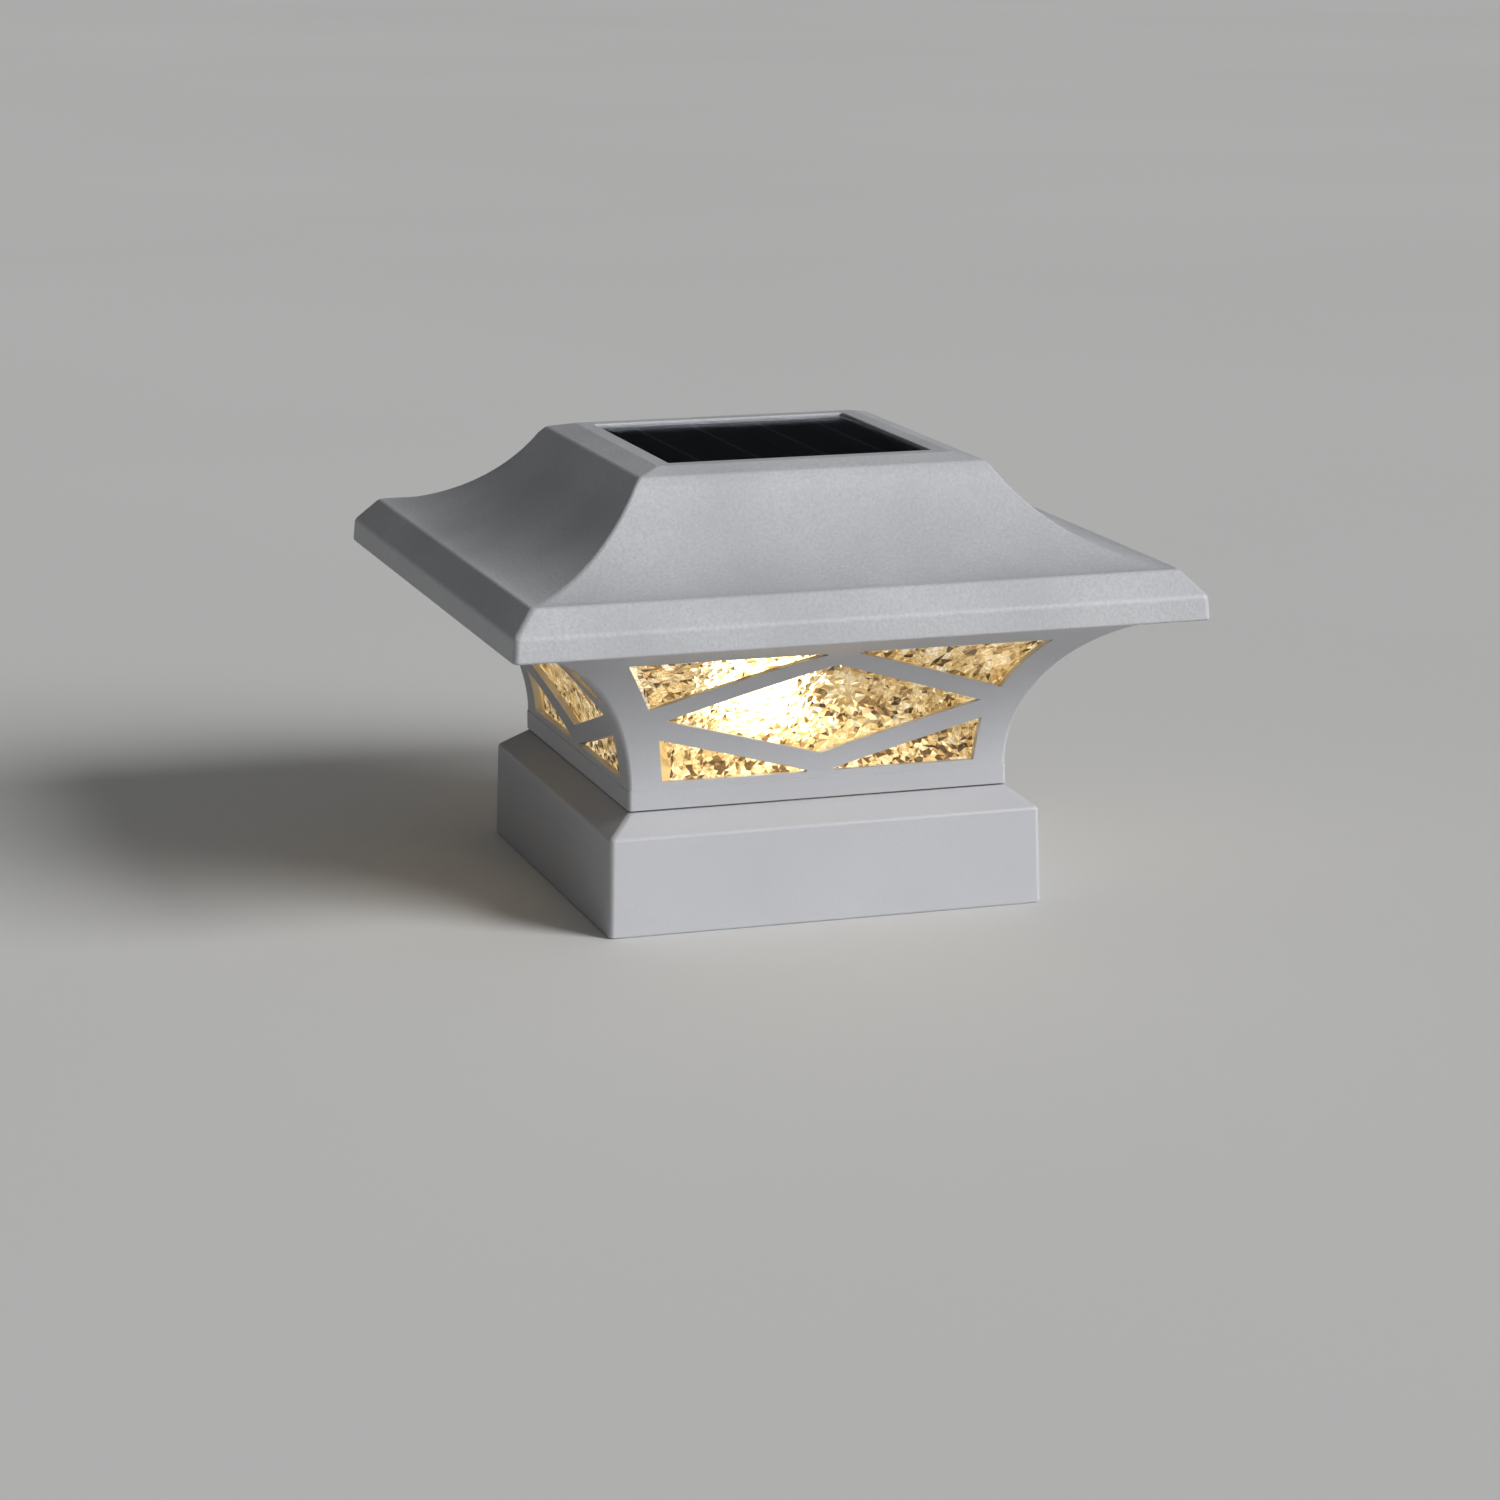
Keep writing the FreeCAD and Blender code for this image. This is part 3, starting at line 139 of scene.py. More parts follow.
def fine_noise(tree: bpy.types.NodeTree, size_mm: float, detail: float = 2.0) -> bpy.types.NodeSocket:
    """Noise on Object coordinates.

    Args:
        tree: the tree that takes the nodes.
        size_mm: the size of one blotch on the real thing.
        detail: octaves of finer noise on top.

    Returns:
        The noise value, from 0 to 1.
    """
    place = add_node(tree, "ShaderNodeTexCoord")
    texture = add_node(tree, "ShaderNodeTexNoise", {
        "Vector": place.outputs["Object"], "Scale": 1 / (size_mm * MM), "Detail": detail})
    return texture.outputs[0]


def ramp(tree: bpy.types.NodeTree, factor: bpy.types.NodeSocket,
         stops: Iterable[tuple[float, str]]) -> bpy.types.NodeSocket:
    """A colour ramp.

    Args:
        tree: the tree that takes the node.
        factor: what the ramp reads.
        stops: position and sRGB hex of each stop.

    Returns:
        The ramp's colour.
    """
    node = add_node(tree, "ShaderNodeValToRGB", {"Fac": factor})
    elements = node.color_ramp.elements
    for number, (position, code) in enumerate(stops):
        stop = elements[number] if number < 2 else elements.new(position)
        stop.position = position
        stop.color = srgb(code)
    return node.outputs["Color"]


def spread(tree: bpy.types.NodeTree, factor: bpy.types.NodeSocket, low: float,
           high: float) -> bpy.types.NodeSocket:
    """A 0 to 1 value spread over another range.

    Args:
        tree: the tree that takes the node.
        factor: the value to spread.
        low: what 0 becomes.
        high: what 1 becomes.

    Returns:
        The spread value.
    """
    node = add_node(tree, "ShaderNodeMapRange", {"Value": factor, "To Min": low, "To Max": high})
    return node.outputs["Result"]


# ---- Finishes -------------------------------------------------------------------------------

@dataclass(frozen=True)
class MouldedAbs:
    """Injection moulded ABS. The mould's eroded texture gives a fine, even, matt grain.

    The roof's grain is drawn coarser than the real one, which would be too fine to show.
    """

    name: str
    light: str
    dark: str
    grain_mm: float
    grain_depth_mm: float
    roughness: float
    roughness_play: float = 0.07
    cloud_mm: float = 38.0
    ior: float = 1.53

    def build(self) -> bpy.types.Material:
        """Make the material.

        Returns:
            The material.
        """
        material, tree = new_material(self.name)
        grain = fine_noise(tree, self.grain_mm, 3.0)
        cloud = fine_noise(tree, self.cloud_mm, 3.0)
        mix = add_node(tree, "ShaderNodeMath", {0: grain, 1: cloud}, operation="MULTIPLY")
        colour = ramp(tree, mix.outputs[0], [(0.08, self.dark), (0.42, self.light)])
        bump = add_node(tree, "ShaderNodeBump", {
            "Height": grain, "Strength": 1.0, "Distance": self.grain_depth_mm * MM})
        close_material(tree, {
            "Base Color": colour, "Normal": bump.outputs["Normal"], "IOR": self.ior,
            "Roughness": spread(tree, cloud, self.roughness - self.roughness_play,
                                self.roughness + self.roughness_play)})
        return material


@dataclass(frozen=True)
class LampRoomAbs:
    """White ABS. Above the floor it is soaked in the lamp's warm light, below it is plain white."""

    name: str = "white_moulded_abs"
    glow: float = 0.38
    floor_mm: float = 38.2
    fade_mm: float = 3.0
    mottle_mm: float = 9.0
    warmth: str = "#FFDFA8"
    roughness: float = 0.42
    ior: float = 1.53

    def build(self) -> bpy.types.Material:
        """Make the material.

        Returns:
            The material.
        """
        material, tree = new_material(self.name)
        colour = ramp(tree, fine_noise(tree, self.mottle_mm, 3.0), [(0.3, "#E4E3DE"), (0.7, "#F4F3EF")])
        place = add_node(tree, "ShaderNodeTexCoord")
        split = add_node(tree, "ShaderNodeSeparateXYZ", {0: place.outputs["Object"]})
        # Painted light: above the floor, the lamp's warm light on these white parts is painted on as
        # emission.
        soaked = add_node(tree, "ShaderNodeMapRange", {
            "Value": split.outputs["Z"], "From Min": self.floor_mm * MM,
            "From Max": (self.floor_mm + self.fade_mm) * MM, "To Min": 0.0, "To Max": self.glow})
        close_material(tree, {
            "Base Color": colour, "Roughness": self.roughness, "IOR": self.ior,
            "Emission Color": srgb(self.warmth), "Emission Strength": soaked.outputs["Result"]})
        return material


@dataclass(frozen=True)
class CrackledAcrylic:
    """Cast acrylic sheet, crackled on its outside. Each facet gets its own tone: painted light from an
    emission glint of the warm light, and painted shade from a darker tint.
    """

    name: str = "crackled_acrylic"
    glow: float = 0.3
    roughness: float = 0.03
    ior: float = 1.49

    def build(self) -> bpy.types.Material:
        """Make the material.

        Returns:
            The material.
        """
        material, tree = new_material(self.name)
        tone = add_node(tree, "ShaderNodeAttribute", attribute_name="facet_tone")
        # Painted light and shade: the glint paints each facet's share of the lamp's light as emission, and
        # the tint paints some facets dark.
        glint = ramp(tree, tone.outputs["Fac"], [
            (0.0, "#000000"), (1.0, "#000000"), (0.10, "#241507"), (0.26, "#A67D3E"),
            (0.50, "#D9B873"), (0.78, "#EFD6A0"), (0.96, "#FFF8E4")])
        tint = ramp(tree, tone.outputs["Fac"], [
            (0.0, "#2A1C0C"), (1.0, "#FFFFFF"), (0.10, "#4A3418"), (0.26, "#8C7048"),
            (0.50, "#BBA677"), (0.78, "#D4C49D"), (0.96, "#EADFC6")])
        close_material(tree, {
            "Base Color": tint, "Emission Color": glint, "Emission Strength": self.glow,
            "Transmission Weight": 1.0, "Roughness": self.roughness, "IOR": self.ior})
        return material


@dataclass(frozen=True)
class GlowingPolycarbonate:
    """Frosted polycarbonate lit from inside, so bright that it reads as one white column."""

    name: str
    glow: float
    warmth: str = "#FFD08C"
    haze_mm: float = 1.2
    haze_depth_mm: float = 0.05
    roughness: float = 0.45
    ior: float = 1.58

    def build(self) -> bpy.types.Material:
        """Make the material.

        Returns:
            The material.
        """
        material, tree = new_material(self.name)
        haze = fine_noise(tree, self.haze_mm, 2.0)
        colour = ramp(tree, haze, [(0.3, self.warmth), (0.7, "#FFF0D6")])
        bump = add_node(tree, "ShaderNodeBump", {
            "Height": haze, "Strength": 0.4, "Distance": self.haze_depth_mm * MM})
        close_material(tree, {
            "Base Color": colour, "Emission Color": colour, "Emission Strength": self.glow,
            "Roughness": self.roughness, "IOR": self.ior, "Normal": bump.outputs["Normal"]})
        return material


@dataclass(frozen=True)
class PrintedSilicon:
    """Polycrystalline silicon, near black, with fine silver contact lines printed across it."""

    name: str = "printed_silicon"
    finger_pitch_mm: float = 2.6
    finger_share: float = 0.88
    crystal_mm: float = 7.0
    roughness: float = 0.3
    shine: float = 0.15

    def build(self) -> bpy.types.Material:
        """Make the material.

        Returns:
            The material.
        """
        material, tree = new_material(self.name)
        place = add_node(tree, "ShaderNodeTexCoord")
        split = add_node(tree, "ShaderNodeSeparateXYZ", {0: place.outputs["Object"]})
        crystal = add_node(tree, "ShaderNodeTexVoronoi", {
            "Vector": place.outputs["Object"], "Scale": 1 / (self.crystal_mm * MM)})
        ground = ramp(tree, crystal.outputs["Color"], [(0.1, "#07080E"), (0.9, "#0E1220")])
        turns = add_node(tree, "ShaderNodeMath", {0: split.outputs["Y"], 1: self.finger_pitch_mm * MM},
                         operation="DIVIDE")
        phase = add_node(tree, "ShaderNodeMath", {0: turns.outputs[0]}, operation="FRACT")
        line = add_node(tree, "ShaderNodeMath", {0: phase.outputs[0], 1: self.finger_share},
                        operation="GREATER_THAN")
        colour = add_node(tree, "ShaderNodeMix", {
            "Factor": line.outputs[0], "A": ground, "B": srgb("#24282F")}, data_type="RGBA")
        close_material(tree, {
            "Base Color": colour.outputs["Result"], "Roughness": self.roughness,
            "Specular IOR Level": self.shine, "Metallic": line.outputs[0]})
        return material


@dataclass(frozen=True)
class ClearResin:
    """Clear resin poured over the cells: a glossy, slightly uneven skin."""

    name: str = "clear_resin"
    ripple_mm: float = 14.0
    ripple_depth_mm: float = 0.05
    smoothest: float = 0.04
    roughest: float = 0.08
    ior: float = 1.15

    def build(self) -> bpy.types.Material:
        """Make the material.

        Returns:
            The material.
        """
        material, tree = new_material(self.name)
        ripple = fine_noise(tree, self.ripple_mm, 1.0)
        bump = add_node(tree, "ShaderNodeBump", {
            "Height": ripple, "Strength": 0.3, "Distance": self.ripple_depth_mm * MM})
        close_material(tree, {
            "Base Color": srgb("#E9EDF2"), "Transmission Weight": 1.0, "IOR": self.ior,
            "Roughness": spread(tree, ripple, self.smoothest, self.roughest),
            "Normal": bump.outputs["Normal"]})
        return material


@dataclass(frozen=True)
class PlatedMetal:
    """Plated steel: a bright metal with a fine, slightly cloudy plating."""

    name: str
    light: str
    dark: str
    roughness: float
    cloud_mm: float = 0.8
    smoother: float = 0.08
    rougher: float = 0.12

    def build(self) -> bpy.types.Material:
        """Make the material.

        Returns:
            The material.
        """
        material, tree = new_material(self.name)
        cloud = fine_noise(tree, self.cloud_mm, 3.0)
        close_material(tree, {
            "Base Color": ramp(tree, cloud, [(0.3, self.dark), (0.7, self.light)]), "Metallic": 1.0,
            "Roughness": spread(tree, cloud, self.roughness - self.smoother, self.roughness + self.rougher)})
        return material


@dataclass(frozen=True)
class PlainSkin:
    """Rubber, laminate, insulation or sleeve: one colour, mottled as a moulded or coated skin is."""

    name: str
    light: str
    dark: str
    blotch_mm: float
    roughness: float
    glow: float = 0.0
    depth_mm: float = 0.04
    ior: float = 1.5

    def build(self) -> bpy.types.Material:
        """Make the material.

        Returns:
            The material.
        """
        material, tree = new_material(self.name)
        blotch = fine_noise(tree, self.blotch_mm, 3.0)
        colour = ramp(tree, blotch, [(0.3, self.dark), (0.7, self.light)])
        bump = add_node(tree, "ShaderNodeBump", {
            "Height": blotch, "Strength": 0.5, "Distance": self.depth_mm * MM})
        close_material(tree, {
            "Base Color": colour, "Emission Color": colour, "Emission Strength": self.glow,
            "Roughness": self.roughness, "IOR": self.ior, "Normal": bump.outputs["Normal"]})
        return material


# ---- Modelling ------------------------------------------------------------------------------

def deselect() -> None:
    """Leave nothing selected."""
    bpy.ops.object.select_all(action="DESELECT")


def make_active(thing: bpy.types.Object) -> None:
    """Select one object alone and make it active.

    Args:
        thing: the object to select.
    """
    deselect()
    thing.select_set(True)
    bpy.context.view_layer.objects.active = thing


def apply_modifier(thing: bpy.types.Object, kind: str, **settings) -> None:
    """Add a modifier, set it and apply it.

    Args:
        thing: the object that takes the modifier.
        kind: the modifier's type.
        settings: the modifier's properties.
    """
    make_active(thing)
    modifier = thing.modifiers.new(kind.lower(), kind)
    for name, value in settings.items():
        setattr(modifier, name, value)
    bpy.ops.object.modifier_apply(modifier=modifier.name)


def smooth(thing: bpy.types.Object, degrees: float = 30.0) -> None:
    """Shade smooth up to an angle, with flat faces kept flat.

    Args:
        thing: the object to shade.
        degrees: the angle past which an edge stays sharp.
    """
    make_active(thing)
    bpy.ops.object.shade_smooth_by_angle(angle=math.radians(degrees))
    apply_modifier(thing, "WEIGHTED_NORMAL", keep_sharp=True, weight=80)


def join(name: str, things: list[bpy.types.Object]) -> bpy.types.Object:
    """Join objects into the first of them.

    Args:
        name: the joined object's name.
        things: the objects to join.

    Returns:
        The joined object.
    """
    make_active(things[0])
    for thing in things:
        thing.select_set(True)
    if len(things) > 1:
        bpy.ops.object.join()
    things[0].name = name
    things[0].data.name = name
    return things[0]


def dress(piece: bpy.types.Object, finish: bpy.types.Material) -> None:
    """Give a piece one material."""
    piece.data.materials.clear()
    piece.data.materials.append(finish)


def place_piece(piece: bpy.types.Object, body: Body, slot: str, finish: bpy.types.Material,
                *nodes: str) -> None:
    """Dress a finished piece, tie it to its body and hide the CAD nodes that it stands for.

    Args:
        piece: the finished piece.
        body: the CAD body that it rides on.
        slot: the record's material slot; not used.
        finish: its material.
        nodes: the CAD nodes that it stands for.
    """
    dress(piece, finish)
    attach(piece, body.value)
    if nodes:
        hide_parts(*nodes)
    LOG.info("%s: %d faces, rides on %s", piece.name, len(piece.data.polygons), body.value)


def arc_section(centre: tuple[float, float], radius: float, first_up: float, last_up: float,
                steps: int) -> Section:
    """Points of an arc that bulges towards the axis, between two heights.

    Args:
        centre: half width and height of the arc's centre.
        radius: the arc's radius.
        first_up: the height of the first point.
        last_up: the height of the last point.
        steps: the number of stretches.

    Returns:
        (half width, height) of each point.
    """
    angles = [math.asin((up - centre[1]) / radius) for up in (first_up, last_up)]
    turns = [angles[0] + (angles[1] - angles[0]) * step / steps for step in range(steps + 1)]
    return [(centre[0] - radius * math.cos(turn), centre[1] + radius * math.sin(turn)) for turn in turns]


def rounded_corner(before: tuple[float, float], corner: tuple[float, float], after: tuple[float, float],
                   radius: float, steps: int = 5) -> Section:
    """The arc that rounds a corner of a section.

    Args:
        before: the point before the corner.
        corner: the corner itself.
        after: the point after it.
        radius: the rounding radius.
        steps: the number of stretches.

    Returns:
        (half width, height) of each point of the arc.
    """
    middle = Vector(corner)
    back = (Vector(before) - middle).normalized()
    ahead = (Vector(after) - middle).normalized()
    half_angle = back.angle(ahead) / 2
    centre = middle + (back + ahead).normalized() * (radius / math.sin(half_angle))
    entry = middle + back * (radius / math.tan(half_angle)) - centre
    turn = math.copysign(math.pi - 2 * half_angle, back.x * ahead.y - back.y * ahead.x) * -1
    points = []
    for step in range(steps + 1):
        angle = turn * step / steps
        arm = Vector((entry.x * math.cos(angle) - entry.y * math.sin(angle),
                      entry.x * math.sin(angle) + entry.y * math.cos(angle)))
        points.append(tuple(centre + arm))
    return points


def round_section(section: Section, radii: dict[int, float]) -> Section:
    """Round some corners of a closed section.

    Args:
        section: the section's points.
        radii: rounding radius by the point's number.

    Returns:
        The section with arcs in place of those corners.
    """
    points: Section = []
    for number, corner in enumerate(section):
        if number in radii:
            after = section[(number + 1) % len(section)]
            points += rounded_corner(section[number - 1], corner, after, radii[number])
        else:
            points.append(corner)
    return points


def square_shell(name: str, section: Section, corner_radius: float,
                 corner_steps: int = 6) -> bpy.types.Object:
    """Model a closed shell of square plan by extruding a rounded square ring round its section.

    Args:
        name: the object's name.
        section: (half width, height) of each point of the closed section, in metres.
        corner_radius: the plan's corner radius at the section's first point.
        corner_steps: stretches in each corner.

    Returns:
        The shell.
    """
    half, up = section[0]
    deselect()
    bpy.ops.mesh.primitive_plane_add(size=2 * half)
    shell = bpy.context.active_object
    bpy.ops.object.mode_set(mode="EDIT")
    bpy.ops.transform.translate(value=(0, 0, up))
    bpy.ops.mesh.bevel(offset=corner_radius, segments=corner_steps, affect="VERTICES")
    bpy.ops.mesh.delete(type="ONLY_FACE")
    bpy.ops.mesh.select_all(action="SELECT")
    for next_half, next_up in section[1:] + section[:1]:
        bpy.ops.mesh.extrude_region_move(TRANSFORM_OT_translate={"value": (0, 0, next_up - up)})
        ratio = next_half / half
        bpy.ops.transform.resize(value=(ratio, ratio, 1), center_override=(0, 0, 0))
        half, up = next_half, next_up
    bpy.ops.mesh.select_all(action="SELECT")
    bpy.ops.mesh.remove_doubles(threshold=MERGE_NEAR)
    bpy.ops.mesh.normals_make_consistent(inside=False)
    bpy.ops.object.mode_set(mode="OBJECT")
    shell.name = name
    shell.data.name = name
    return shell


def slab(name: str, low: Vector, high: Vector, bevel: float) -> bpy.types.Object:
    """Model a box between two corners with softened edges.

    Args:
        name: the object's name.
        low: lowest corner.
        high: highest corner.
        bevel: the edges' bevel width.

    Returns:
        The slab.
    """
    deselect()
    bpy.ops.mesh.primitive_cube_add(size=1)
    thing = bpy.context.active_object
    bpy.ops.object.mode_set(mode="EDIT")
    bpy.ops.transform.resize(value=tuple(high - low), center_override=(0, 0, 0))
    bpy.ops.transform.translate(value=tuple((low + high) / 2))
    bpy.ops.mesh.bevel(offset=bevel, segments=2, affect="EDGES")
    bpy.ops.object.mode_set(mode="OBJECT")
    thing.name = name
    thing.data.name = name
    return thing


def box_of(node: str) -> tuple[Vector, Vector]:
    """Lowest and highest corner of a CAD node."""
    low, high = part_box(node)
    return Vector(low), Vector(high)


# ---- Base -----------------------------------------------------------------------------------

@dataclass
class BaseSkirt:
    """Skirt that slips over the post, with its sloping shoulder and the bosses inside it."""

    wall: float = 4.25 * MM
    draft: float = 0.85 * MM
    band_top: float = 30.3 * MM
    shoulder_half: float = 60.7 * MM
    mouth_half: float = 56.7 * MM
    chamber_half: float = 63.4 * MM
    ledge_up: float = 29.8 * MM
    boss_place: float = 57.5 * MM
    boss_radius: float = 3.4 * MM
    boss_height: float = 4.4 * MM
    boss_sides: int = 24
    corner_radius: float = 1.8 * MM
    foot_round: float = 0.7 * MM
    band_round: float = 1.6 * MM
    lip_round: float = 0.5 * MM
    mouth_round: float = 0.4 * MM

    def build(self, finish: bpy.types.Material) -> None:
        """Model the skirt and dress it.

        Args:
            finish: the skirt's material.
        """
        low, high = box_of("base_skirt")
        half, top = high.x, high.z
        section = [
            (half, low.z), (half - self.draft, self.band_top), (self.shoulder_half, top),
            (self.mouth_half, top), (self.chamber_half, self.ledge_up),
            (half - self.wall, self.ledge_up), (half - self.wall, low.z)]
        radii = {0: self.foot_round, 1: self.band_round, 2: self.lip_round, 3: self.mouth_round,
                 6: self.lip_round}
        shell = square_shell("skirt_shell", round_section(section, radii), self.corner_radius)
        bosses = [self.boss(x, y) for x in (-1, 1) for y in (-1, 1)]
        piece = join("skirt_shell", [shell] + bosses)
        smooth(piece)
        place_piece(piece, Body.BASE, "body_plastic", finish, "base_skirt")

    def boss(self, x: int, y: int) -> bpy.types.Object:
        """Model the screw boss in one corner.

        Args:
            x: -1 or 1, for the left or the right.
            y: -1 or 1, for the front or the back.

        Returns:
            The boss.
        """
        deselect()
        bpy.ops.mesh.primitive_cylinder_add(vertices=self.boss_sides, radius=self.boss_radius,
                                            depth=self.boss_height)
        thing = bpy.context.active_object
        bpy.ops.object.mode_set(mode="EDIT")
        place = (self.boss_place * x, self.boss_place * y, self.ledge_up + self.boss_height / 2)
        bpy.ops.transform.translate(value=place)
        bpy.ops.object.mode_set(mode="OBJECT")
        return thing


# ---- Lantern --------------------------------------------------------------------------------

@dataclass
class Cove:
    """The quarter arc that each side of the lantern follows."""

    foot_half: float = 60.7 * MM
    base_up: float = 43.0 * MM
    radius: float = 52.3 * MM

    @property
    def centre(self) -> tuple[float, float]:
        """Half width and height of the arc's centre."""
        return self.foot_half + self.radius, self.base_up

    def half_at(self, up: float, inward: float) -> float:
        """Half width at a height, on the arc set inward from the outer face."""
        across, middle = self.centre
        return across - math.sqrt((self.radius + inward) ** 2 - (up - middle) ** 2)

    def up_at(self, half: float, inward: float) -> float:
        """Height at a half width, on the arc set inward from the outer face."""
        across, middle = self.centre
        return middle + math.sqrt((self.radius + inward) ** 2 - (across - half) ** 2)


@dataclass
class Lattice:
    """The five windows of one side, seen square on."""

    foot_up: float = 45.1 * MM
    foot_half: float = 50.0 * MM
    low_waist: tuple[float, float] = (51.7 * MM, 58.8 * MM)
    low_tip: float = 4.3 * MM
    high_waist: tuple[float, float] = (56.2 * MM, 69.1 * MM)
    head: tuple[float, float] = (66.95 * MM, 86.5 * MM)
    high_tip: float = 5.1 * MM
    blunt: float = 0.6 * MM
    side_bow: float = 0.45 * MM
    side_steps: int = 8
    diamond_half: float = 50.3 * MM
    diamond_middle: float = 65.0 * MM
    diamond_foot: float = 50.9 * MM
    diamond_head: float = 81.6 * MM

    def high_side(self) -> Section:
        """The bowed outer edge of a high window.

        Returns:
            (across, up) of each point, from the waist to the head.
        """
        start, finish = Vector(self.high_waist), Vector(self.head)
        along = finish - start
        out = Vector((along.y, -along.x)).normalized()
        points = []
        for step in range(self.side_steps + 1):
            share = step / self.side_steps
            bow = self.side_bow * 4 * share * (1 - share)
            points.append(tuple(start + along * share + out * -bow))
        return points

    def outlines(self) -> list[Section]:
        """Every window's outline.

        Returns:
            For each window, the (across, up) points of its outline.
        """
        low = [(self.low_tip, self.foot_up), (self.foot_half, self.foot_up), self.low_waist,
               (self.low_tip, self.foot_up + self.blunt)]
        high = self.high_side() + [(self.high_tip, self.head[1]), (self.high_tip, self.head[1] - self.blunt)]
        windows = [[(across * side, up) for across, up in outline]
                   for outline in (low, high) for side in (-1, 1)]
        diamond = [(0.0, self.diamond_foot), (self.diamond_half, self.diamond_middle),
                   (0.0, self.diamond_head), (-self.diamond_half, self.diamond_middle)]
        return windows + [diamond]


@dataclass
class LanternFrame:
    """Flared frame with a foot band and a lattice of windows on each side."""

    cove: Cove = field(default_factory=Cove)
    lattice: Lattice = field(default_factory=Lattice)
    wall: float = 2.4 * MM
    foot_step: float = 0.25 * MM
    flange_half: float = 104.6 * MM
    mouth_half: float = 98.0 * MM
    corner_radius: float = 1.3 * MM
    edge_bevel: float = 0.22 * MM
    bevel_past: float = 40.0
    cutter_reach: float = 1.2
    cove_steps: int = 30

    def section(self) -> Section:
        """The closed section of the frame's wall, without its windows.

        Returns:
            (half width, height) of each point.
        """
        low, high = box_of("lantern_frame")
        cove = self.cove
        foot = cove.foot_half + self.foot_step
        inner = cove.foot_half - self.wall
        outer_arc = arc_section(cove.centre, cove.radius, cove.base_up,
                                cove.up_at(self.flange_half, 0), self.cove_steps)
        inner_arc = arc_section(cove.centre, cove.radius + self.wall,
                                cove.up_at(self.mouth_half, self.wall), cove.base_up, self.cove_steps)
        return ([(foot, low.z), (foot, cove.base_up)] + outer_arc
                + [(self.flange_half, high.z), (self.mouth_half, high.z)] + inner_arc + [(inner, low.z)])

    def cutter(self, turn: float) -> bpy.types.Object:
        """Model the prisms that cut the windows of two opposite sides.

        Args:
            turn: the prisms' turn about +Z, in radians.

        Returns:
            The prisms as one object.
        """
        reach = self.flange_half * self.cutter_reach
        prisms = []
        for outline in self.lattice.outlines():
            deselect()
            bpy.ops.mesh.primitive_circle_add(vertices=len(outline), fill_type="NGON")
            prism = bpy.context.active_object
            for vertex, (across, up) in zip(prism.data.vertices, outline):
                vertex.co = (across, -reach, up)
            bpy.ops.object.mode_set(mode="EDIT")
            bpy.ops.mesh.select_all(action="SELECT")
            bpy.ops.mesh.extrude_region_move(TRANSFORM_OT_translate={"value": (0, 2 * reach, 0)})
            bpy.ops.mesh.select_all(action="SELECT")
            bpy.ops.mesh.normals_make_consistent(inside=False)
            bpy.ops.object.mode_set(mode="OBJECT")
            prisms.append(prism)
        cutter = join("window_cutter", prisms)
        cutter.data.transform(Matrix.Rotation(turn, 4, "Z"))
        return cutter

    def build(self, finish: bpy.types.Material) -> None:
        """Model the frame, cut its windows and dress it.

        Args:
            finish: the frame's material.
        """
        frame_piece = square_shell("lattice_frame", self.section(), self.corner_radius)
        for turn in (0.0, math.pi / 2):
            cutter = self.cutter(turn)
            apply_modifier(frame_piece, "BOOLEAN", operation="DIFFERENCE", solver="EXACT", object=cutter)
            bpy.data.objects.remove(cutter)
        apply_modifier(frame_piece, "BEVEL", width=self.edge_bevel, segments=2, limit_method="ANGLE",
                       angle_limit=math.radians(self.bevel_past), use_clamp_overlap=False)
        smooth(frame_piece)
        place_piece(frame_piece, Body.LANTERN, "body_plastic", finish, "lantern_frame")


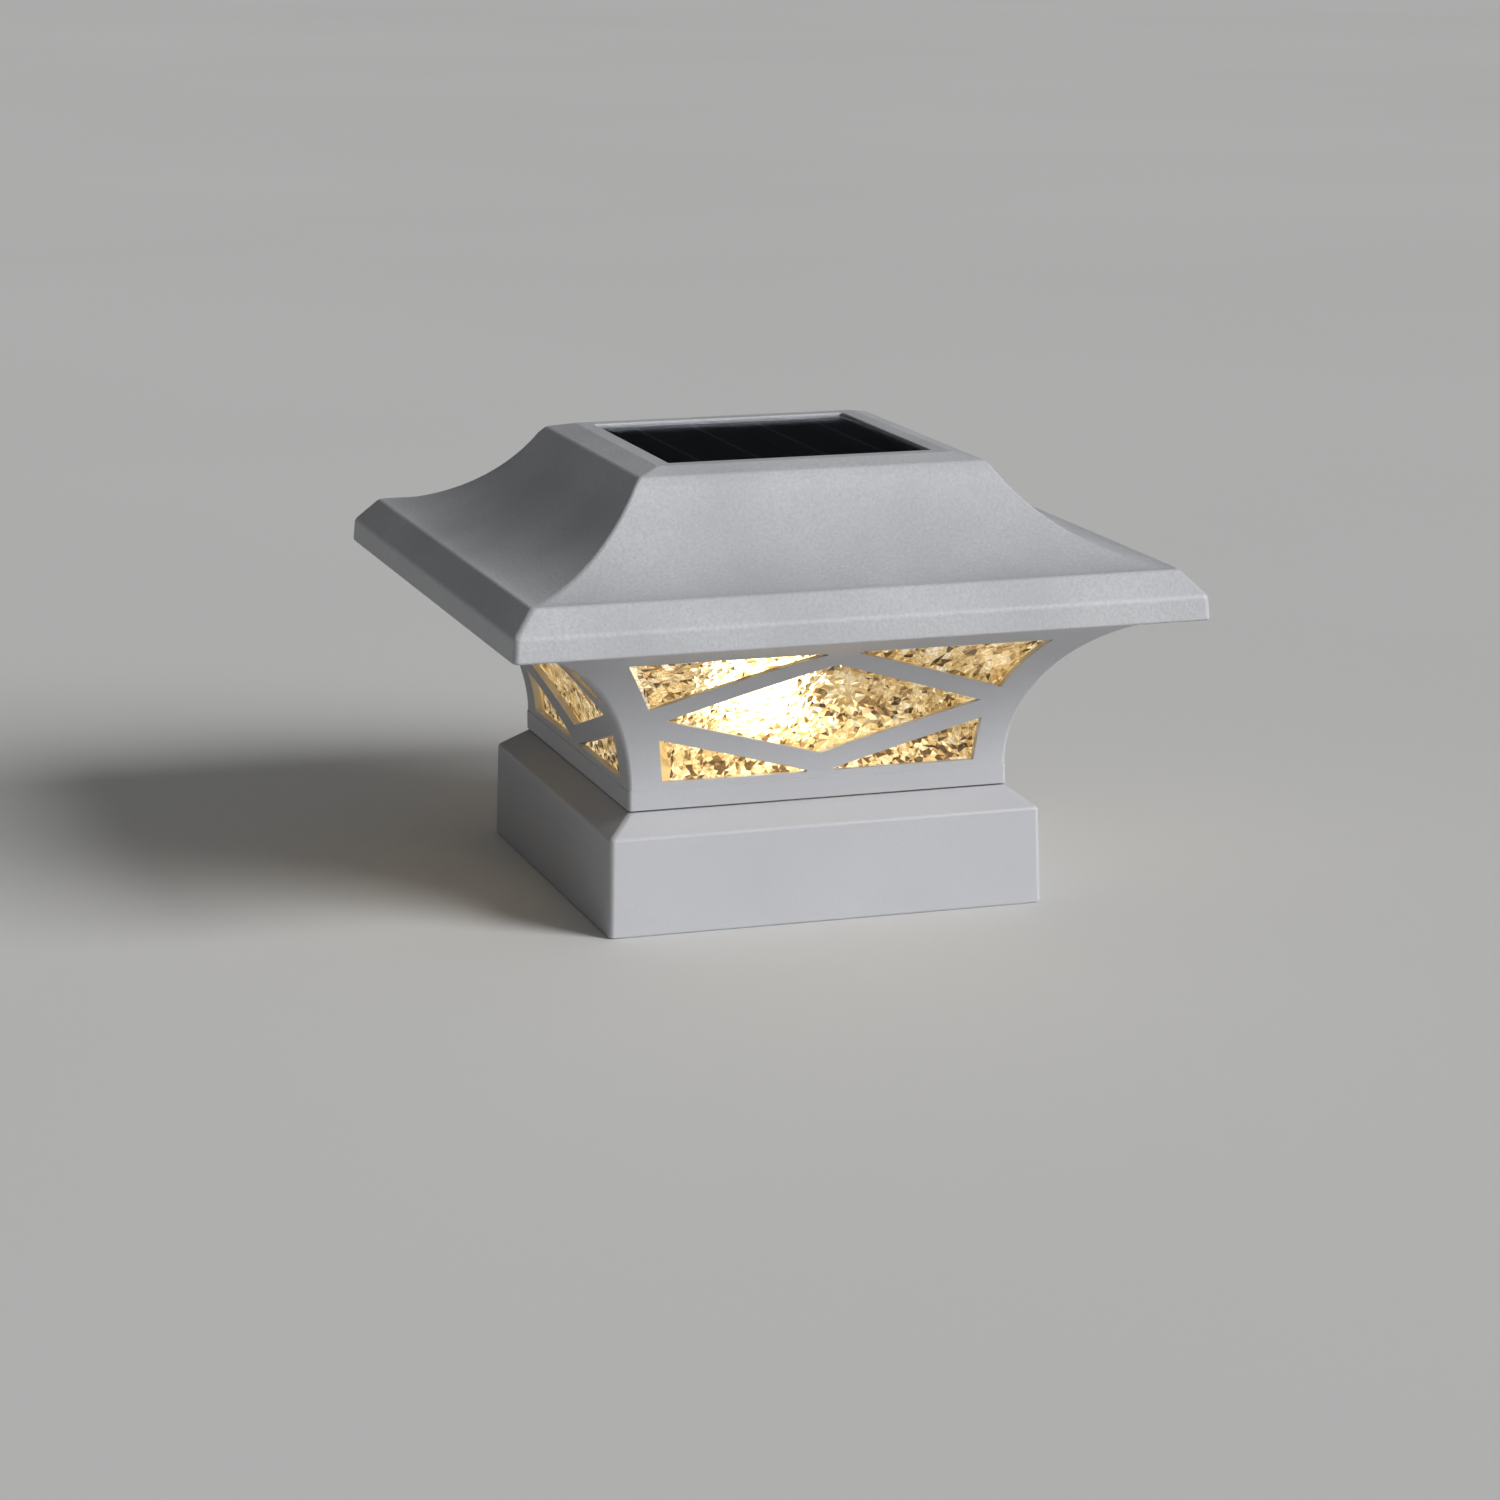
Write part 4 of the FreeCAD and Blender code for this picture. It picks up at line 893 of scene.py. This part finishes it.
@dataclass
class LensPanel:
    """Crackled panel behind each side of the frame: facets outside, smooth inside, plain rim."""

    cove: Cove = field(default_factory=Cove)
    inset: float = 2.5 * MM
    thick: float = 1.8 * MM
    side_gap: float = 0.3 * MM
    rim: float = 2.0 * MM
    crackle_depth: float = 0.68 * MM
    crackle_size: float = 2.4 * MM
    columns: int = 150
    rows: int = 66
    facets: int = 5600
    inner_steps: int = 24
    shared_share: float = 0.65
    contrast: float = 1.25
    middle_tone: float = 0.5
    foot_tone: float = 0.4
    foot_contrast: float = 1.6
    strip_foot_tone: float = 0.45
    painted_shade_top: float = 50.0 * MM
    plain_tone: float = 1.0
    brightest: float = 0.96
    plain_low: float = 20.0 * MM
    edge_foot: tuple[float, float] = (-46.6 * MM, 51.0 * MM)
    edge_lean: float = -0.47
    splinter: tuple[float, float, float] = (2.9 * MM, 2.9 * MM, 1.9 * MM)
    seed: int = 7

    def sheet(self, columns: int, rows: int, inward: float) -> bpy.types.Object:
        """Model one face of the panel as a grid bent to the cove.

        Args:
            columns: grid columns.
            rows: grid rows.
            inward: how far the sheet lies inward of the frame's outer face.

        Returns:
            The bent sheet.
        """
        low, high = box_of("lens_front")
        side_inward = self.inset + self.thick + self.side_gap
        deselect()
        bpy.ops.mesh.primitive_grid_add(x_subdivisions=columns, y_subdivisions=rows, size=2)
        grid = bpy.context.active_object
        for vertex in grid.data.vertices:
            up = low.z + (high.z - low.z) * (vertex.co.y + 1) / 2
            bend_up = max(up, self.cove.base_up)
            across = vertex.co.x * self.cove.half_at(bend_up, side_inward)
            vertex.co = (across, -self.cove.half_at(bend_up, inward), up)
        return grid

    def crackle_edge(self, up: float) -> float:
        """Where the crackle stops on the left of the panel: a plain strip is left there."""
        across, foot_up = self.edge_foot
        return across + self.edge_lean * max(up - foot_up, 0.0)

    def weigh_rim(self, sheet: bpy.types.Object) -> None:
        """Keep the crackle off a plain rim and the plain strip, by vertex weight.

        Args:
            sheet: the panel's outer face.
        """
        low, high = box_of("lens_front")
        side_inward = self.inset + self.thick + self.side_gap
        group = sheet.vertex_groups.new(name="crackle")
        for vertex in sheet.data.vertices:
            side = self.cove.half_at(max(vertex.co.z, self.cove.base_up), side_inward)
            room = min(side - abs(vertex.co.x), vertex.co.z - low.z, high.z - vertex.co.z)
            if room > self.rim and vertex.co.x > self.crackle_edge(vertex.co.z):
                group.add([vertex.index], 1.0, "REPLACE")

    def crackled_sheet(self) -> bpy.types.Object:
        """Model the outer face: noise pushes it inward and a collapse leaves sharp facets.

        Returns:
            The faceted face.
        """
        sheet = self.sheet(self.columns, self.rows, self.inset)
        self.weigh_rim(sheet)
        pattern = bpy.data.textures.new("crackle", "CLOUDS")
        pattern.noise_scale = self.crackle_size
        pattern.noise_depth = 1
        pattern.noise_basis = "VORONOI_F2_F1"
        apply_modifier(sheet, "DISPLACE", texture=pattern, texture_coords="LOCAL", direction="Y",
                       strength=self.crackle_depth, mid_level=0.0, vertex_group="crackle")
        triangles = 2 * len(sheet.data.polygons)
        apply_modifier(sheet, "DECIMATE", ratio=self.facets / triangles)
        return sheet

    def paint_facets(self, panel: bpy.types.Object, crackled_faces: int) -> None:
        """Give every facet its own tone, and the plain faces one tone. The tones are painted light and
        shade: darker facets near the window's foot, and a painted highlight on the plain strip.

        Args:
            panel: the whole panel.
            crackled_faces: how many of its first faces are facets.
        """
        own = random.Random(self.seed)
        tones = panel.data.attributes.new("facet_tone", "FLOAT", "FACE")
        for number, face in enumerate(panel.data.polygons):
            crackled = number < crackled_faces
            place = Vector(part / size for part, size in zip(face.center, self.splinter))
            heart = noise.voronoi(place)[1][0]
            shared = random.Random(f"{heart.x:.2f} {heart.z:.2f}").random()
            tone = self.shared_share * shared + (1 - self.shared_share) * own.random()
            tone = self.middle_tone + (tone - self.middle_tone) * self.contrast
            # Painted shade: facets low in the window get a darker, more contrasty tone.
            if face.center.z < self.painted_shade_top:
                tone = self.foot_tone + (tone - self.middle_tone) * self.foot_contrast
            # Painted highlight: the plain strip is painted bright above, with a darker painted tone near its
            # foot.
            if face.center.x < self.crackle_edge(face.center.z):
                in_foot = face.center.z < self.cove.base_up + self.plain_low
                tone = self.strip_foot_tone if in_foot else self.brightest
            tones.data[number].value = min(max(tone, 0.0), self.brightest) if crackled else self.plain_tone
            face.use_smooth = not crackled

    def build(self, finish: bpy.types.Material) -> None:
        """Model one panel, copy it to the four sides and dress them.

        Args:
            finish: the panels' material.
        """
        outer = self.crackled_sheet()
        crackled_faces = len(outer.data.polygons)
        inner = self.sheet(self.inner_steps, self.inner_steps, self.inset + self.thick)
        panel = join("lens_panel", [outer, inner])
        bpy.ops.object.mode_set(mode="EDIT")
        bpy.ops.mesh.select_all(action="DESELECT")
        bpy.ops.mesh.select_mode(type="EDGE")
        bpy.ops.mesh.select_non_manifold()
        bpy.ops.mesh.bridge_edge_loops()
        bpy.ops.mesh.select_all(action="SELECT")
        bpy.ops.mesh.normals_make_consistent(inside=False)
        bpy.ops.mesh.select_mode(type="VERT")
        bpy.ops.object.mode_set(mode="OBJECT")
        self.paint_facets(panel, crackled_faces)
        for side in Side:
            name = side.name.lower()
            piece = panel.copy()
            piece.data = panel.data.copy()
            bpy.context.collection.objects.link(piece)
            piece.data.transform(Matrix.Rotation(math.radians(side.value), 4, "Z"))
            piece.name = f"crackled_lens_{name}"
            piece.data.name = piece.name
            place_piece(piece, Body.LANTERN, "lens_acrylic", finish, f"lens_{name}")
        bpy.data.objects.remove(panel)


# ---- Roof -----------------------------------------------------------------------------------

@dataclass
class RoofShell:
    """Concave hipped roof with a deep rim, a chamfer, a crest and a recess for the panel."""

    rim_draft: float = 0.55 * MM
    rim_top: float = 101.6 * MM
    eaves: tuple[float, float] = (100.55 * MM, 109.1 * MM)
    slope_centre: tuple[float, float] = (106.8 * MM, 168.1 * MM)
    slope_radius: float = 59.6 * MM
    slope_foot_half: float = 98.0 * MM
    slope_head_half: float = 57.0 * MM
    crest: tuple[float, float] = (55.0 * MM, 137.5 * MM)
    border_half: float = 47.0 * MM
    recess_half: float = 41.9 * MM
    recess_base: float = 134.3 * MM
    opening_half: float = 38.5 * MM
    cavity_top: float = 131.8 * MM
    ledge_up: float = 98.8 * MM
    wall: float = 3.0 * MM
    corner_radius: float = 2.0 * MM
    shoulder_inset: float = 1 * MM
    shoulder_chamfer: float = 1.2 * MM
    foot_round: float = 0.8 * MM
    rim_round: float = 3.0 * MM
    eaves_round: float = 2.0 * MM
    crest_round: float = 2.6 * MM
    border_round: float = 3.0 * MM
    recess_round: float = 0.5 * MM
    inner_round: float = 0.4 * MM
    slope_steps: int = 26

    def slope_up(self, half: float, radius: float) -> float:
        """Height of the slope's arc at a half width."""
        across, middle = self.slope_centre
        return middle - math.sqrt(radius ** 2 - (across - half) ** 2)

    def build(self, finish: bpy.types.Material) -> None:
        """Model the shell and dress it.

        Args:
            finish: the roof's material.
        """
        low, high = box_of("roof_shell")
        half, top = high.x, high.z
        inner_radius = self.slope_radius + self.wall
        rise = self.slope_centre[1] - self.cavity_top
        cavity_half = self.slope_centre[0] - math.sqrt(inner_radius ** 2 - rise ** 2)
        shoulder_half = self.slope_foot_half - self.shoulder_inset
        outer_slope = arc_section(self.slope_centre, self.slope_radius,
                                  self.slope_up(self.slope_foot_half, self.slope_radius),
                                  self.slope_up(self.slope_head_half, self.slope_radius), self.slope_steps)
        inner_slope = arc_section(self.slope_centre, inner_radius, self.cavity_top,
                                  self.slope_up(shoulder_half, inner_radius), self.slope_steps)
        start = [(half, low.z), (half - self.rim_draft, self.rim_top), self.eaves]
        crown = [self.crest, (self.border_half, top), (self.recess_half, top),
                 (self.recess_half, self.recess_base), (self.opening_half, self.recess_base),
                 (self.opening_half, self.cavity_top), (cavity_half, self.cavity_top)]
        rim_inside = [(shoulder_half + self.shoulder_chamfer, self.ledge_up),
                      (half - self.wall, self.ledge_up), (half - self.wall, low.z)]
        section = start + outer_slope + crown + inner_slope[1:] + rim_inside
        crest = len(start) + len(outer_slope)
        radii = {0: self.foot_round, 1: self.rim_round, 2: self.eaves_round, crest: self.crest_round,
                 crest + 1: self.border_round, crest + 2: self.recess_round,
                 len(section) - 1: self.inner_round}
        piece = square_shell("roof_canopy", round_section(section, radii), self.corner_radius)
        smooth(piece)
        place_piece(piece, Body.LANTERN, "body_plastic", finish, "roof_shell")


@dataclass
class SolarPanel:
    """Two cells under a clear resin skin, with silver bus bars printed on each."""

    bar_wide: float = 1.1 * MM
    bar_thick: float = 0.02 * MM
    bar_margin: float = 0.8 * MM
    bar_bevel: float = 0.004 * MM
    bars_per_cell: int = 2
    wafer_bevel: float = 0.04 * MM
    skin_gap: float = 0.03 * MM
    skin_bevel: float = 0.35 * MM

    def build(self, cell_finish: bpy.types.Material, bar_finish: bpy.types.Material,
              skin_finish: bpy.types.Material) -> None:
        """Model the cells, their bus bars and the skin, and dress them.

        Args:
            cell_finish: the cells' material.
            bar_finish: the bus bars' material.
            skin_finish: the clear skin's material.
        """
        for side in ("left", "right"):
            low, high = box_of(f"solar_cell_{side}")
            wafer = slab(f"silicon_cell_{side}", low, high, self.wafer_bevel)
            place_piece(wafer, Body.LANTERN, "solar_cell", cell_finish, f"solar_cell_{side}")
            bars = []
            for number in range(self.bars_per_cell):
                middle = low.x + (high.x - low.x) * (number + 0.5) / self.bars_per_cell
                start = Vector((middle - self.bar_wide / 2, low.y + self.bar_margin, high.z))
                end = Vector((middle + self.bar_wide / 2, high.y - self.bar_margin,
                              high.z + self.bar_thick))
                bars.append(slab("bar", start, end, self.bar_bevel))
            grid = join(f"bus_bars_{side}", bars)
            place_piece(grid, Body.LANTERN, "nickel", bar_finish)
        low, high = box_of("solar_cover")
        low.z = box_of("solar_cell_left")[1].z + self.skin_gap
        skin = slab("resin_skin", low, high, self.skin_bevel)
        place_piece(skin, Body.LANTERN, "solar_glass", skin_finish, "solar_cover")


# ---- Carried-over CAD nodes -----------------------------------------------------------------

class Fittings:
    """The inner pieces that keep their CAD shape and get their real finish."""

    def __init__(self) -> None:
        """Make the finishes."""
        white = LampRoomAbs().build()
        seat = GlowingPolycarbonate("frosted_polycarbonate_seat", glow=3.2, warmth="#FFE6BC").build()
        zinc = PlatedMetal("zinc_plated_steel", "#C9CBD0", "#9EA1A8", roughness=0.34).build()
        nickel = PlatedMetal("nickel_plated_spring_steel", "#D8D3C6", "#A9A496", roughness=0.24).build()
        laminate = PlainSkin("solder_masked_laminate", "#1F6B3A", "#175530",
                             blotch_mm=3.0, roughness=0.32).build()
        black_laminate = PlainSkin("black_masked_laminate", "#131417", "#0B0C0E",
                                   blotch_mm=3.0, roughness=0.4).build()
        foam = PlainSkin("closed_cell_foam_rubber", "#232324", "#101011",
                         blotch_mm=0.7, roughness=0.85).build()
        red = PlainSkin("red_wire_insulation", "#B3201A", "#8E1712", blotch_mm=2.0, roughness=0.4).build()
        black = PlainSkin("black_moulded_nylon", "#26272A", "#17181A", blotch_mm=1.2, roughness=0.5).build()
        sleeve = PlainSkin("battery_shrink_sleeve", "#3E6FA3", "#345F8E",
                           blotch_mm=6.0, roughness=0.28).build()
        phosphor = PlainSkin("diode_phosphor", "#FFE7A6", "#F6D072",
                             blotch_mm=0.8, roughness=0.4, glow=6.0).build()
        self.finish_of = {
            white: ("mounting_plate", "floor_plate", "battery_housing", "battery_door",
                    "ceiling_reflector"),
            seat: ("lamp_seat",),
            zinc: ("plate_screws", "floor_screws", "roof_screws", "door_hinge_pin"),
            nickel: ("positive_contact", "negative_contact", "battery_spring"),
            laminate: ("circuit_board",),
            black_laminate: ("solar_backing",),
            foam: ("roof_gasket", "panel_seal"),
            red: ("panel_wire_positive", "battery_wires"),
            black: ("panel_wire_negative", "switch_wires", "switch_body", "switch_slider"),
            sleeve: ("battery",),
            phosphor: ("led_chips",),
        }

    def build(self) -> None:
        """Dress every fitting."""
        for finish, nodes in self.finish_of.items():
            for node in nodes:
                dress(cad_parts[node], finish)
                LOG.info("%s: %s", node, finish.name)


class Lamp:
    """The glowing column and the down-light windows."""

    def build(self) -> None:
        """Dress the diffuser and the down-light windows."""
        column = GlowingPolycarbonate("frosted_polycarbonate_column", glow=7.5, warmth="#FFE6BC").build()
        dress(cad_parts["diffuser_sleeve"], column)
        window = GlowingPolycarbonate("frosted_polycarbonate_window", glow=2.5).build()
        for side in Side:
            dress(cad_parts[f"downlight_lens_{side.name.lower()}"], window)


# ---- Studio ---------------------------------------------------------------------------------

@dataclass
class Studio:
    """Pale floor, soft light and the camera."""

    camera_place: tuple[float, float, float] = (-0.3813, -1.1871, 0.3273)
    camera_yaw: float = 17.673
    camera_pitch: float = 13.050
    camera_roll: float = -0.065
    lens_mm: float = 96.0
    sensor_mm: float = 36.0
    floor_half: float = 30.0
    floor_steps: int = 8
    floor_mottle_mm: float = 900.0
    floor_roughness: float = 0.8
    key_azimuth: float = 46.0
    key_elevation: float = 27.0
    key_energy: float = 3.3
    key_spread: float = 28.0
    overhead_glow: tuple[float, float] = (0.004, 0.34)
    overhead_span: tuple[float, float] = (0.3, 0.9)
    horizon_glow: float = 0.5
    horizon_span: tuple[float, float] = (0.045, 0.095)

    def build(self) -> None:
        """Set up the floor, the lights and the camera."""
        self.build_floor()
        self.build_lights()
        self.build_camera()
        bpy.context.scene.view_settings.view_transform = "Standard"

    def build_floor(self) -> None:
        """A wide pale floor under the skirt."""
        deselect()
        bpy.ops.mesh.primitive_grid_add(x_subdivisions=self.floor_steps, y_subdivisions=self.floor_steps,
                                        size=2 * self.floor_half)
        floor = bpy.context.active_object
        floor.name = "studio_floor"
        material, tree = new_material("painted_floor")
        mottle = fine_noise(tree, self.floor_mottle_mm, 2.0)
        tone = ramp(tree, mottle, [(0.3, "#D3D3D2"), (0.7, "#D7D7D6")])
        close_material(tree, {"Base Color": tone, "Roughness": self.floor_roughness})
        dress(floor, material)

    def build_lights(self) -> None:
        """A soft key from the right and a soft light from above."""
        azimuth, elevation = math.radians(self.key_azimuth), math.radians(self.key_elevation)
        towards = Vector((math.sin(azimuth) * math.cos(elevation), -math.cos(azimuth) * math.cos(elevation),
                          math.sin(elevation)))
        sun = bpy.data.lights.new("key", "SUN")
        sun.energy = self.key_energy
        sun.angle = math.radians(self.key_spread)
        key = bpy.data.objects.new("key", sun)
        key.rotation_mode = "QUATERNION"
        key.rotation_quaternion = towards.to_track_quat("Z", "Y")
        bpy.context.collection.objects.link(key)
        world = bpy.data.worlds.new("studio_sky")
        bpy.context.scene.world = world
        world.use_nodes = True
        tree = world.node_tree
        tree.nodes.clear()
        place = add_node(tree, "ShaderNodeTexCoord")
        split = add_node(tree, "ShaderNodeSeparateXYZ", {0: place.outputs["Generated"]})
        low, high = self.overhead_span
        faint, bright = self.overhead_glow
        overhead = add_node(tree, "ShaderNodeMapRange", {
            "Value": split.outputs["Z"], "From Min": low, "From Max": high, "To Min": faint,
            "To Max": bright}, interpolation_type="SMOOTHSTEP")
        low, high = self.horizon_span
        horizon = add_node(tree, "ShaderNodeMapRange", {
            "Value": split.outputs["Z"], "From Min": low, "From Max": high,
            "To Min": self.horizon_glow, "To Max": 0.0})
        strength = add_node(tree, "ShaderNodeMath", {
            0: overhead.outputs["Result"], 1: horizon.outputs["Result"]}, operation="MAXIMUM")
        sky = add_node(tree, "ShaderNodeBackground", {
            "Color": srgb("#E2E3E3"), "Strength": strength.outputs[0]})
        add_node(tree, "ShaderNodeOutputWorld", {"Surface": sky.outputs[0]})

    def build_camera(self) -> None:
        """The camera, left of the front and a little above."""
        data = bpy.data.cameras.new("camera")
        data.lens = self.lens_mm
        data.sensor_width = self.sensor_mm
        camera = bpy.data.objects.new("camera", data)
        bpy.context.collection.objects.link(camera)
        yaw, pitch = math.radians(self.camera_yaw), math.radians(self.camera_pitch)
        ahead = Vector((math.sin(yaw) * math.cos(pitch), math.cos(yaw) * math.cos(pitch), -math.sin(pitch)))
        turn = ahead.to_track_quat("-Z", "Y").to_matrix().to_4x4()
        roll = Matrix.Rotation(math.radians(self.camera_roll), 4, "Z")
        camera.matrix_world = Matrix.Translation(self.camera_place) @ turn @ roll
        bpy.context.scene.camera = camera


def main() -> None:
    """Build every sub-assembly in order."""
    logging.basicConfig(level=logging.INFO, format="%(message)s")
    roof_abs = MouldedAbs("grained_moulded_abs", "#C1C2C5", "#AEAFB3",
                          grain_mm=1.1, grain_depth_mm=0.11, roughness=0.5).build()
    fine_abs = MouldedAbs("smooth_moulded_abs", "#BFC0C4", "#B9BABF",
                          grain_mm=0.7, grain_depth_mm=0.008, roughness=0.42).build()
    silver = PlatedMetal("printed_silver_paste", "#9A9DA3", "#7C8087", roughness=0.4).build()
    BaseSkirt().build(fine_abs)
    LanternFrame().build(fine_abs)
    LensPanel().build(CrackledAcrylic().build())
    RoofShell().build(roof_abs)
    SolarPanel().build(PrintedSilicon().build(), silver, ClearResin().build())
    Fittings().build()
    Lamp().build()
    Studio().build()


if __name__ == "__main__":
    main()
